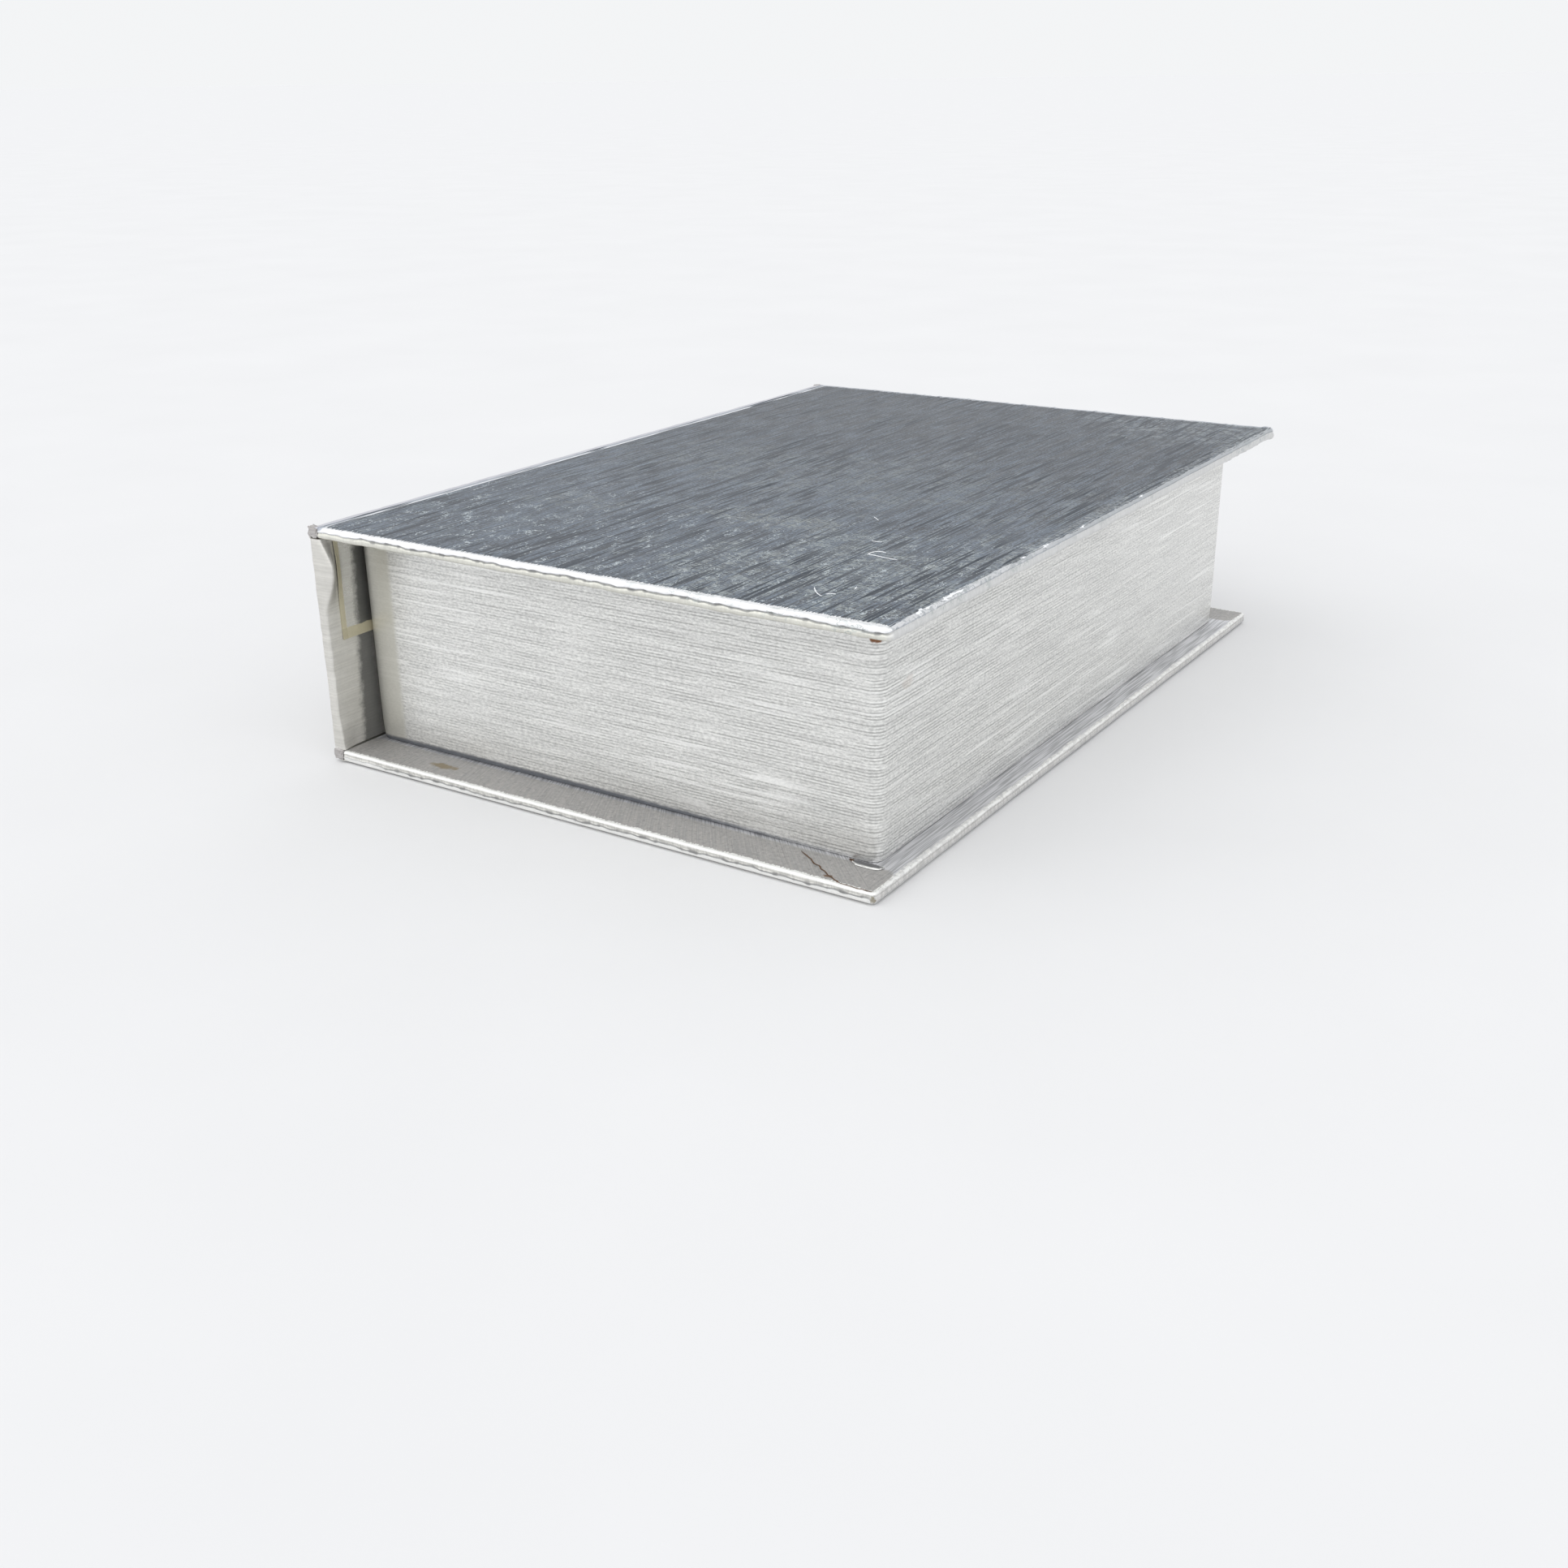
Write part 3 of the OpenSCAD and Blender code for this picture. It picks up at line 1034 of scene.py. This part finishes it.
@dataclass
class Spine:
    """Spine: board, cover folded over its two ends, both paper hinges, and the liner's tail."""

    finishes: Finishes
    outer_x: float = -53.25
    inner_x: float = -51.45
    half: float = 76.5
    low_z: float = 2.0
    high_z: float = 38.0
    squareness: float = 3.2
    crest: float = 2.3

    def path(self) -> list[tuple[Vector, Vector, float]]:
        """Goes along the cover's section from one cut end, round the tail and head, to the other.

        Returns:
            Points in plan, their outward directions, and the distances along the sheet, which
            match Y on the outer face.
        """
        r = FOLD_R
        half: list[tuple[Vector, Vector, float]] = []
        for y in spread(0, self.half - r, 2.0):
            half.append((Vector((self.outer_x, y, 0)), Vector((-1, 0, 0)), y))
        run = self.half - r
        for a in angles(6)[1:]:
            n = Vector((-math.cos(a), math.sin(a), 0))
            half.append((Vector((self.outer_x + r, run, 0)) + n * r, n, run + a * r))
        run += QUARTER * r
        for x in spread(self.outer_x + r, self.inner_x - r, 0.3)[1:]:
            half.append((Vector((x, self.half, 0)), Vector((0, 1, 0)), run + x - self.outer_x - r))
        run += self.inner_x - self.outer_x - 2 * r
        for a in angles(6)[1:]:
            n = Vector((math.sin(a), math.cos(a), 0))
            half.append((Vector((self.inner_x - r, self.half - r, 0)) + n * r, n, run + a * r))
        run += QUARTER * r
        for back in (0.3, 0.7, 1.2, 1.8, 2.6, 3.6, 5, 7, 10, TURN_IN - r):
            half.append((Vector((self.inner_x, self.half - r - back, 0)), Vector((1, 0, 0)), run + back))
        mirror = [
            (Vector((p.x, -p.y, 0)), Vector((n.x, -n.y, 0)), -along) for p, n, along in reversed(half[1:])
        ]
        return mirror + half

    def bulge(self, z: float) -> float:
        """How far the fold at the tail stands off the inner face at a height."""
        crest = self.crest * ease(z, 25.0, 32.6) * ease(z, 39.2, 33.4)
        return crest + 0.35 * ease(z, 9.0, 2.0) + 0.12 * (1 + ripple(z * 0.35, 1, 32))

    def cover(self) -> bpy.types.Object:
        """Builds the cover between the two hinges.

        Returns:
            The new object.
        """
        sheet = Sheet("spine_sheet")
        for flat, normal, along in self.path():
            row = []
            ends = abs(normal.y)
            inward = ease(flat.x, self.outer_x + 0.6, self.inner_x)
            near = inward * ease(abs(flat.y), 72.4, 76.2) ** 1.4
            for z in spread(self.low_z, self.high_z, 0.5):
                lift = ends * (0.12 * ripple(z * 0.22, flat.x, 33) + 0.09 * ripple(z * 0.8, flat.x * 2, 34))
                rise = self.bulge(z) if flat.y < 0 else 0.12 * (1 + ripple(z * 0.3, 0, 31))
                point = Vector((flat.x + near * rise, flat.y, z)) + normal * lift
                row.append(Knot(point, normal, (along, z), (z, abs(along) - self.half + FOLD_R)))
            sheet.rows.append(row)
        return sheet.build()

    def hinge(self, name: str, top: bool) -> bpy.types.Object:
        """Builds the quarter round of cover over one hinge, folded double at its two ends.

        Args:
            name: Name of the piece.
            top: True for the lid's hinge, False for the base's.

        Returns:
            The new object.
        """
        up = 1.0 if top else -1.0
        centre = Vector((self.outer_x + HINGE_R, 0, self.high_z if top else self.low_z))
        fold = PAPER
        half: list[tuple[float, float, float, float]] = []
        for y in spread(0, self.half - fold, 0.9):
            half.append((y, HINGE_R, 1.0, 0.0))
        for a in angles(6, math.pi)[1:]:
            out, end = math.cos(a), math.sin(a)
            half.append((self.half - fold + fold * end, HINGE_R - fold + fold * out, out, end))
        for y in spread(self.half - fold, self.half - TURN_IN, 1.5)[1:]:
            half.append((y, HINGE_R - 2 * fold, -1.0, 0.0))
        path = [(-y, r, out, -end) for y, r, out, end in reversed(half[1:])] + half
        alongs = [0.0]
        for a, b in zip(path, path[1:]):
            alongs.append(alongs[-1] + math.hypot(b[0] - a[0], b[1] - a[1]))
        sheet = Sheet(name)
        places = [(Vector((-math.cos(a), 0, up * math.sin(a))), HINGE_R * a, 0.0) for a in angles(14)]
        places.append((Vector((0, 0, up)), HINGE_R * QUARTER + PAPER, PAPER))
        power = self.squareness
        for (y, r, out, end), along in zip(path, alongs):
            row = []
            for radial, arc, beyond in places:
                normal = radial * out + Vector((0, end, 0))
                square = (abs(radial.x) ** power + abs(radial.z) ** power) ** (-1 / power)
                wave = 0.06 * ripple(y * 0.2, arc, 41 + up) + 0.06 * ripple(y * 0.7, arc * 2, 43)
                crease = -0.10 * ease(abs(arc - 2.75), 0.35, 0.1)
                lift = (wave + crease) * max(0.0, out) * ease(abs(y), 76.4, 75.5)
                point = centre + Vector((beyond, y, 0)) + radial * (r * square + lift)
                v = self.high_z + arc if top else self.low_z - arc
                row.append(Knot(point, normal, (along - alongs[-1] / 2, v), (y, arc)))
            sheet.rows.append(row)
        return sheet.build()

    def lining(self) -> bpy.types.Object:
        """Builds the liner's strip inside the lid's hinge.

        Returns:
            The new object.
        """
        sheet = Sheet("lid_hinge_lining", -PAPER)
        centre = Vector((self.outer_x + HINGE_R, 0, self.high_z))
        step = self.half - TURN_IN
        for y in spread(-self.half + 3, self.half - 3, 1.5):
            radius = HINGE_R - PAPER - 0.01 - PAPER * ease(abs(y), step - 1, step)
            row = []
            for turn in angles(10):
                radial = Vector((-math.cos(turn), 0, math.sin(turn)))
                point = centre + Vector((0, y, 0)) + radial * radius
                row.append(Knot(point, -radial, (y, self.high_z + turn * radius), (y, turn)))
            sheet.rows.append(row)
        return sheet.build()

    def liner(self) -> bpy.types.Object:
        """Builds the liner glued down the inside of the spine.

        Returns:
            The new object.
        """
        low, high = cad_box("spine_liner")
        sheet = Sheet("spine_liner_sheet")
        step = self.half - TURN_IN
        for y in spread(low.y, high.y, 1.0):
            row = []
            for z in spread(low.z, high.z, 0.5):
                lift = PAPER * (1 + ease(abs(y), step - 0.2, step + 0.4))
                lift += 0.08 * ease(z, low.z + 2.5, low.z) * ease(y, -40, -73)
                lift += 0.03 * ripple(y * 0.2, z * 0.3, 51)
                lift += 0.22 * self.bulge(z) * ease(y, -72.2, -73.5)
                point = Vector((self.inner_x - PAPER + lift, y, z))
                row.append(Knot(point, Vector((1, 0, 0)), (y, z), (y, z)))
            sheet.rows.append(row)
        return sheet.build()

    def crumple(self, name: str, centre: Vector, radii: Vector, seed: float) -> bpy.types.Object:
        """Builds a small crumple of folded paper at an end of the spine.

        Args:
            name: Name of the piece.
            centre: Its middle.
            radii: Its half sizes.
            seed: Seed of its creases.

        Returns:
            The new object.
        """
        work = bmesh.new()
        bmesh.ops.create_icosphere(work, subdivisions=4, radius=1.0)
        for vert in work.verts:
            n = vert.co.normalized()
            coarse = abs(noise.noise(n * 1.7 + Vector((seed, 0, 0))))
            fine = abs(noise.noise(n * 4.1 + Vector((0, seed, 0))))
            size = 1.0 - 0.45 * (coarse + 0.5 * fine)
            n = Vector([math.copysign(abs(c) ** 0.62, c) * r for c, r in zip(n, radii)])
            vert.co = (centre + n * size) / MM
        mesh = bpy.data.meshes.new(name)
        work.to_mesh(mesh)
        work.free()
        mesh.polygons.foreach_set("use_smooth", [True] * len(mesh.polygons))
        return added(name, mesh)

    def build(self) -> None:
        """Builds and dresses the spine and both hinges."""
        core = self.finishes.core
        plain = Foil(
            "spine_foil", (0.78, 0.765, 0.72), (0.46, 0.45, 0.42), (0.82, 0.81, 0.78),
            metallic=0.50, roughness=0.40, lines=0.06, strands=0.15, hairs=0.15, patches=0.7, rubs=0.7,
            relief=0.006, slot_dark=True,
        ).material()
        strip = Foil(
            "hinge_foil", (0.76, 0.75, 0.71), (0.45, 0.44, 0.41), (0.82, 0.81, 0.78),
            metallic=0.55, roughness=0.38, lines=0.1, strands=0.25, hairs=0.25, patches=0.6, rubs=0.6,
            marks=(Mark((-51.4, 0, 40.0), (1.7, 200, 0.9), (0.62, 0.62, 0.67), 0.9, 0.2, 0.4, 0.4),),
        ).material()
        liner = Foil(
            "spine_liner_foil", (0.80, 0.79, 0.76), (0.46, 0.46, 0.45), (0.78, 0.77, 0.74),
            metallic=0.85, roughness=0.24, lines=0.06, strands=0.1, hairs=0.1, patches=0.3,
            relief=0.003, cream=((1, 72.5), (2, -22.3)), slot_dark=True,
        ).material()
        cover = self.cover()
        dress(cover, plain, core)
        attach(cover, "spine")
        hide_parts("spine_cover")
        for name, top in (("lid_hinge_strip", True), ("base_hinge_strip", False)):
            made = self.hinge(name, top)
            dress(made, strip, core)
            if top:
                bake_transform(made)
                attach(made, "spine")
            else:
                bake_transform(made)
                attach(made, "base")
        lining = self.lining()
        dress(lining, liner, core)
        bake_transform(lining)
        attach(lining, "spine")
        sheet = self.liner()
        dress(sheet, liner, core)
        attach(sheet, "spine")
        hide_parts("spine_liner")
        folded = Foil(
            "folded_foil", (0.60, 0.585, 0.575), (0.32, 0.30, 0.29), (0.78, 0.77, 0.76),
            metallic=0.4, roughness=0.5, layout=Layout.LEVEL, lines=0.1, patches=0.5, rubs=0.5,
        ).material()
        for name, centre, radii, seed in CRUMPLES:
            made = self.crumple(name, Vector(centre), Vector(radii), seed)
            dress(made, folded)
            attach(made, "spine")
        log.info("spine, two hinges, liner and four crumpled ends built")


@dataclass
class Tray:
    """Rigid tray: four walls and a floor of board under one foil wrap, lined inside."""

    finishes: Finishes
    corner_r: float = 2.0
    rim_fold: float = 0.3
    wall_t: float = 1.8
    gaps: tuple[float, ...] = (1.6, 0.8, 0.8, 1.6, 1.6)
    corner_steps: int = 8
    under_floor: tuple[float, ...] = (11.0, 7.0, 3.0, 1.2, 0.6)
    down_inside: tuple[float, ...] = (1.5, 3.0, 5.0, 8.0, 12.0)

    def __post_init__(self) -> None:
        """Reads the tray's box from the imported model."""
        self.low, self.high = cad_box("tray_wrap")

    def section(self) -> list[tuple[float, float, float, float]]:
        """Section of the wrap from its cut under the floor to its cut inside the wall.

        Returns:
            For each line its inset, height, lean from straight out (0 out, 1 up, -1 down, 2 in)
            and distance along the sheet, which matches the height on the wall.
        """
        r = self.rim_fold
        z0, z1 = self.low.z, self.high.z
        made = [(inset, z0, -1.0, z0 - inset) for inset in self.under_floor]
        for a in angles(4):
            made.append((r * (1 - math.sin(a)), z0 + r * (1 - math.cos(a)), a / QUARTER - 1, z0 + r * a))
        for z in spread(z0 + r, z1 - r, 1.2)[1:-1]:
            made.append((0.0, z, 0.0, z))
        for a in angles(4):
            made.append((r * (1 - math.cos(a)), z1 - r * (1 - math.sin(a)), a / QUARTER, z1 - r + r * a))
        made.append((self.wall_t / 2, z1, 1.0, z1 + 0.7))
        for a in angles(4):
            inset, z = self.wall_t - r * (1 - math.sin(a)), z1 - r * (1 - math.cos(a))
            made.append((inset, z, 1 + a / QUARTER, z1 + 1.2 + r * a))
        for drop in self.down_inside:
            made.append((self.wall_t, z1 - drop, 2.0, z1 + 1.5 + drop))
        return made

    def wrap(self) -> bpy.types.Object:
        """Builds the foil wrap.

        Returns:
            The new object.
        """
        sheet = Sheet("tray_wrap_sheet")
        outline = Outline(self.low, self.high, self.corner_r, True, self.gaps, self.corner_steps)
        stations = outline.stations()
        for inset, z, lean, along in self.section():
            row = []
            a = lean * QUARTER
            for station in stations:
                p = station.along
                flat = outline.plan(station, inset)
                normal = station.normal * math.cos(a) + Vector((0, 0, math.sin(a)))
                wall = ease(abs(lean), 0.6, 0.0)
                foot = ease(z, self.low.z + 3.5, self.low.z + 0.6)
                rise = wall * (0.05 * ripple(p * 0.07, z * 0.08, 61) + 0.03
                               + 0.05 * foot * ripple(p * 0.5, z, 62))
                rise *= ease(z, self.high.z, self.high.z - 1.5)
                point = Vector((flat.x, flat.y, z)) + normal * rise
                slack = wall * ease(z, self.low.z, self.low.z + 2) * (0.25 + 0.005 * z)
                point.x -= slack * ease(flat.x, self.low.x + 9, self.low.x + 0.5) * ease(flat.y, -30, -60)
                row.append(Knot(point, normal, (p, along), (p, z)))
            sheet.rows.append(row)
        return sheet.build()

    def lip(self) -> bpy.types.Object:
        """Builds the tongue of wrap that sticks out under the corner by the tail and fore-edge.

        Returns:
            The new object.
        """
        sheet = Sheet("wrap_lip")
        rim = (
            (42.6, -68.6), (43.3, -69.3), (44.3, -69.9), (45.8, -70.05),
            (47.2, -69.95), (48.0, -69.7), (48.4, -69.0),
        )
        curl = ((0, 0.10), (0.3, 0.06), (0.6, 0.06), (0.75, 0.14), (0.86, 0.22), (0.94, 0.18), (1, 0.03))
        for share in spread(0, 1, 1 / 42):
            reach = share * (len(rim) - 1)
            i = min(int(reach), len(rim) - 2)
            x, outer = Vector(rim[i]).lerp(Vector(rim[i + 1]), reach - i)
            round_off = min(max(0.0, x - (self.high.x - self.corner_r)), self.corner_r)
            inner = self.low.y + self.corner_r - math.sqrt(self.corner_r ** 2 - round_off ** 2)
            inner = min(inner + 0.3, -68.5)
            row = []
            for out, rise in curl:
                y = inner + (outer - inner) * out
                rise *= (1 + 0.25 * ripple(share * 7, out, 72)) * ease(share, -0.1, 0.1)
                z = self.low.z + 0.04 + rise
                row.append(Knot(Vector((x, y, z)), Vector((0, 0, 1)), (x, y), (x, y)))
            sheet.rows.append(row)
        return sheet.build()

    def build(self) -> None:
        """Builds and dresses the tray."""
        wrap = self.wrap()
        tail_start = (self.high.y - self.low.y) / 2 - self.corner_r
        foil = Foil(
            "tray_foil", (1.0, 1.0, 0.97), (0.41, 0.41, 0.40), (0.92, 0.92, 0.90),
            metallic=0.66, roughness=0.36, lines=0.46, strands=0.10, hairs=0.14, grit=0.38, glints=0.5,
            patches=0.10, rubs=0.10, smooth_band=(tail_start, tail_start + 7.2), crisp_at=(47.0, -68.2),
            marks=(
                Mark((46.2, -68.0, 35.1), (1.1, 1.5, 0.7), (0.26, 0.13, 0.07), 1.0, 0.5, 1.3, 0.8),
                # Painted shadow: a dark line along the foot of the tail wall.
                Mark((-20.0, -68.3, 1.8), (72.0, 0.9, 1.15), (0.10, 0.11, 0.13), 0.9, 0.12, 0.7, 0.5),
                # Painted shade inside the tongue of wrap under the near corner, and on the foot beside it.
                Mark((45.6, -68.9, 1.95), (3.6, 0.75, 0.6), (0.12, 0.12, 0.13), 0.9, 0.2, 1.2, 0.5),
                Mark((42.9, -69.0, 2.0), (0.7, 0.8, 0.6), (0.13, 0.07, 0.04), 1.0, 0.3, 1.6, 0.7),
                Mark((47.0, -60.5, 27.0), (2.0, 1.6, 1.3), (0.60, 0.52, 0.46), 0.30, 0.8, 0.9, 0.5),
            ),
        ).material()
        dress(wrap, foil, self.finishes.core)
        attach(wrap, "base")
        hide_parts("tray_wrap")
        lip = self.lip()
        dress(lip, foil, self.finishes.core)
        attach(lip, "base")
        log.info("tray wrap: %d faces", len(wrap.data.polygons))


@dataclass
class Thread:
    """Thin raised line on a sheet, such as a scratch or the lip of a tear."""

    name: str
    course: tuple[tuple[float, float], ...]
    width: float
    wander: float = 0.05
    level: float = 40.02
    body: str = "lid"
    thickness: float = 0.04
    steps_per_leg: int = 6

    def steps(self) -> list[Vector]:
        """Divides the course evenly.

        Returns:
            Its points.
        """
        points = [Vector((x, y, self.level)) for x, y in self.course]
        made = []
        for a, b in zip(points, points[1:]):
            made += [a.lerp(b, i / self.steps_per_leg) for i in range(self.steps_per_leg)]
        return made + points[-1:]

    def build(self, material: bpy.types.Material) -> None:
        """Builds and dresses the line.

        Args:
            material: Its finish.
        """
        sheet = Sheet(self.name, self.thickness)
        steps = self.steps()
        last = len(steps) - 1
        for i, point in enumerate(steps):
            ahead = (steps[min(i + 1, last)] - steps[max(i - 1, 0)]).normalized()
            aside = Vector((-ahead.y, ahead.x, 0))
            point = point + aside * self.wander * ripple(i * 0.45, self.level, 81)
            wide = self.width * (0.35 + 0.65 * ease(i, 0, 2) * ease(i, last, last - 2))
            wide *= 1 + 0.5 * ripple(i * 0.7, self.level, 82)
            sheet.rows.append([
                Knot(point + aside * wide * t + Vector((0, 0, rise)), Vector((0, 0, 1)), (i, t), (i, t))
                for t, rise in ((-1, 0.0), (-0.4, 0.06), (0.4, 0.05), (1, 0.0))
            ])
        made = sheet.build()
        dress(made, material, material)
        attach(made, self.body)


TEARS = (
    Thread("base_tear", ((35.4, -69.8), (39.1, -72.4), (41.6, -73.9), (43.7, -75.2), (45.4, -76.0)),
           0.13, 0.32, 1.86, "base"),
    Thread("base_fold_tear", ((45.4, -76.0), (48.3, -76.2), (50.6, -76.1)), 0.08, 0.1, 1.84, "base"),
)
SCRATCHES = (
    Thread("lid_scratch_hook", ((34.2, -44.3), (32.9, -44.2), (32.3, -45.2), (32.3, -46.4)), 0.09),
    Thread("lid_scratch_long", ((32.3, -46.4), (33.5, -46.5), (35.1, -46.8), (37.6, -47.0)), 0.10),
    Thread("lid_scratch_curl", ((34.8, -65.3), (35.8, -66.7), (36.9, -67.8), (37.9, -68.4)), 0.09),
    Thread("lid_scratch_short", ((37.9, -67.4), (38.2, -66.7), (39.0, -66.6)), 0.10),
    Thread("lid_scratch_high", ((28.9, -39.4), (29.8, -39.5), (30.6, -39.2)), 0.08),
    Thread("lid_scratch_far", ((21.7, -26.2), (22.6, -27.0), (23.5, -27.9)), 0.07),
    Thread("lid_scratch_side", ((40.1, -63.4), (39.7, -62.1)), 0.09),
    Thread("lid_nick_near", ((53.0, -69.4), (52.9, -68.3), (52.6, -67.3), (52.2, -66.7)), 0.28, 0.2),
    Thread("lid_nick_mid", ((52.9, -66.6), (52.8, -65.3)), 0.24, 0.1),
    Thread("lid_nick_far", ((52.9, -62.0), (52.8, -60.2), (52.9, -58.2), (52.8, -55.8)), 0.30, 0.4),
    Thread("lid_flake_a", ((52.6, -37.2), (52.9, -36.0)), 0.22, 0.2),
    Thread("lid_flake_b", ((53.0, -30.0), (52.7, -28.6), (52.9, -27.6)), 0.20, 0.3),
    Thread("lid_flake_c", ((52.9, -16.4), (52.8, -14.6)), 0.20, 0.2),
    Thread("lid_flake_d", ((52.9, 7.6), (52.8, 9.4)), 0.20, 0.2),
)


@dataclass
class Studio:
    """Camera at the photograph's view, pale floor and plain soft light."""

    frame_px: float = 1932.0
    focal_px: float = 2085.7
    place: Colour = (0.15445, -0.25713, 0.10524)
    azimuth: float = 33.102
    elevation: float = 22.708
    roll: float = -0.698
    backdrop: Colour = (0.90, 0.91, 0.92)
    daylight: Colour = (0.80, 0.81, 0.83)

    def camera(self) -> None:
        """Adds the camera."""
        data = bpy.data.cameras.new("view")
        data.sensor_width = 36.0
        data.lens = self.focal_px / self.frame_px * data.sensor_width
        data.clip_start = 0.01
        made = added("view", data)
        a, e = math.radians(self.azimuth), math.radians(self.elevation)
        back = Vector((math.sin(a) * math.cos(e), -math.cos(a) * math.cos(e), math.sin(e)))
        right = Vector((0, 0, 1)).cross(back).normalized()
        turn = Matrix.Rotation(math.radians(self.roll), 3, back)
        right = turn @ right
        up = back.cross(right)
        made.matrix_world = Matrix.Translation(self.place) @ Matrix((right, up, back)).transposed().to_4x4()
        bpy.context.scene.camera = made

    def lamp(self, name: str, toward: Colour, strength: float) -> None:
        """Adds a wide, far lamp that lights the floor and the box evenly.

        Args:
            name: Name of the lamp.
            toward: Direction in which it stands.
            strength: Its strength.
        """
        data = bpy.data.lights.new(name, "SUN")
        data.angle = math.radians(LAMP_SPREAD_DEG)
        data.energy = strength
        made = added(name, data)
        made.location = toward
        made.rotation_euler = Vector(toward).to_track_quat("Z", "Y").to_euler()

    def floor(self) -> None:
        """Adds the floor, just under the box."""
        mesh = bpy.data.meshes.new("floor")
        corners = ((-1, -1), (1, -1), (1, 1), (-1, 1))
        points = [(x * FLOOR_HALF_M, y * FLOOR_HALF_M, FLOOR_Z_M) for x, y in corners]
        mesh.from_pydata(points, [], [(0, 1, 2, 3)])
        made = added("floor", mesh)
        material, s = new_material("floor_card")
        cloud = s.cloud(s.place(), 0.02, 3.0)
        colour = s.mix((0.80, 0.80, 0.80), (0.84, 0.84, 0.84), cloud)
        shader = s.node("ShaderNodeBsdfPrincipled", None, {
            "Base Color": colour, "Roughness": 1.0, "Specular IOR Level": 0.0})
        s.node("ShaderNodeOutputMaterial", None, {"Surface": shader})
        mesh.materials.append(material)

    def world(self) -> None:
        """Lights the scene evenly and shows a pale backdrop to the camera and in the foil."""
        world = bpy.data.worlds.new("studio")
        bpy.context.scene.world = world
        world.use_nodes = True
        s = Shader(world.node_tree)
        path = s.node("ShaderNodeLightPath").socket.node
        rays = [Signal(s, path.outputs[f"Is {kind} Ray"]) for kind in ("Camera", "Glossy", "Transmission")]
        colour = s.mix(self.daylight, self.backdrop, rays[0].most(rays[1]).most(rays[2]))
        light = s.node("ShaderNodeBackground", None, {"Color": colour, "Strength": 1.0})
        s.node("ShaderNodeOutputWorld", None, {"Surface": light})

    def build(self) -> None:
        """Builds the studio."""
        self.camera()
        self.floor()
        self.world()
        self.lamp("key", (-0.45, -0.75, 0.80), 0.86)
        self.lamp("fill", (0.90, -0.50, 0.43), 0.82)
        bpy.context.scene.view_settings.view_transform = "Standard"
        log.info("studio built")


def dress_nodes(finishes: Finishes) -> None:
    """Gives the CAD nodes that stay in view their finishes.

    Args:
        finishes: The shared materials.
    """
    level = Foil(
        "lining_foil_level", (0.62, 0.62, 0.62), (0.44, 0.44, 0.45), (0.74, 0.74, 0.74), layout=Layout.LEVEL,
        metallic=0.7, roughness=0.38, lines=0.4, strands=0.15, hairs=0.25, patches=0.1, rubs=0.1,
    )
    along = replace(level, name="lining_foil_flat", layout=Layout.ALONG_Y, patches=0.15, rubs=0.15)
    lid_liner = replace(
        along, name="lid_liner_foil", tone=(0.66, 0.66, 0.66), shade=(0.38, 0.38, 0.39), roughness=0.36,
        cream=((1, 72.7), (0, cad_box("lid_liner")[1].x - 0.8)),
    )
    finish_of = {
        "tray_wall_lining": level.material(),
        "tray_floor_lining": along.material(),
        "lid_liner": lid_liner.material(),
    }
    for name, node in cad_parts.items():
        dress(node, finishes.tape if name.startswith("stay_") else finish_of.get(name, finishes.board))
    log.info("%d packed nodes dressed", len(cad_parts))


def main() -> None:
    """Builds the book box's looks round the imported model."""
    logging.basicConfig(level=logging.INFO, format="%(name)s: %(message)s")
    finishes = Finishes(
        board=Pulp("greyboard", (0.46, 0.43, 0.38), (0.33, 0.31, 0.27)).material(),
        tape=Pulp("gummed_tape", (0.60, 0.46, 0.30), (0.48, 0.35, 0.22), 1.4, 0.7).material(),
        core=Pulp("paper_core", (0.72, 0.69, 0.60), (0.55, 0.52, 0.44), 3.0).material(),
    )
    dress_nodes(finishes)
    Base(finishes).build()
    Tray(finishes).build()
    Spine(finishes).build()
    Lid(finishes).build()
    torn = Pulp("torn_paper", (0.17, 0.10, 0.06), (0.09, 0.055, 0.035), 3.0).material()
    for tear in TEARS:
        tear.build(torn)
    scuffed = Pulp("scuffed_foil", (0.97, 0.98, 0.99), (0.84, 0.86, 0.88), 3.0, 0.5).material()
    for scratch in SCRATCHES:
        scratch.build(scuffed)
    Studio().build()


if __name__ == "__main__":
    main()
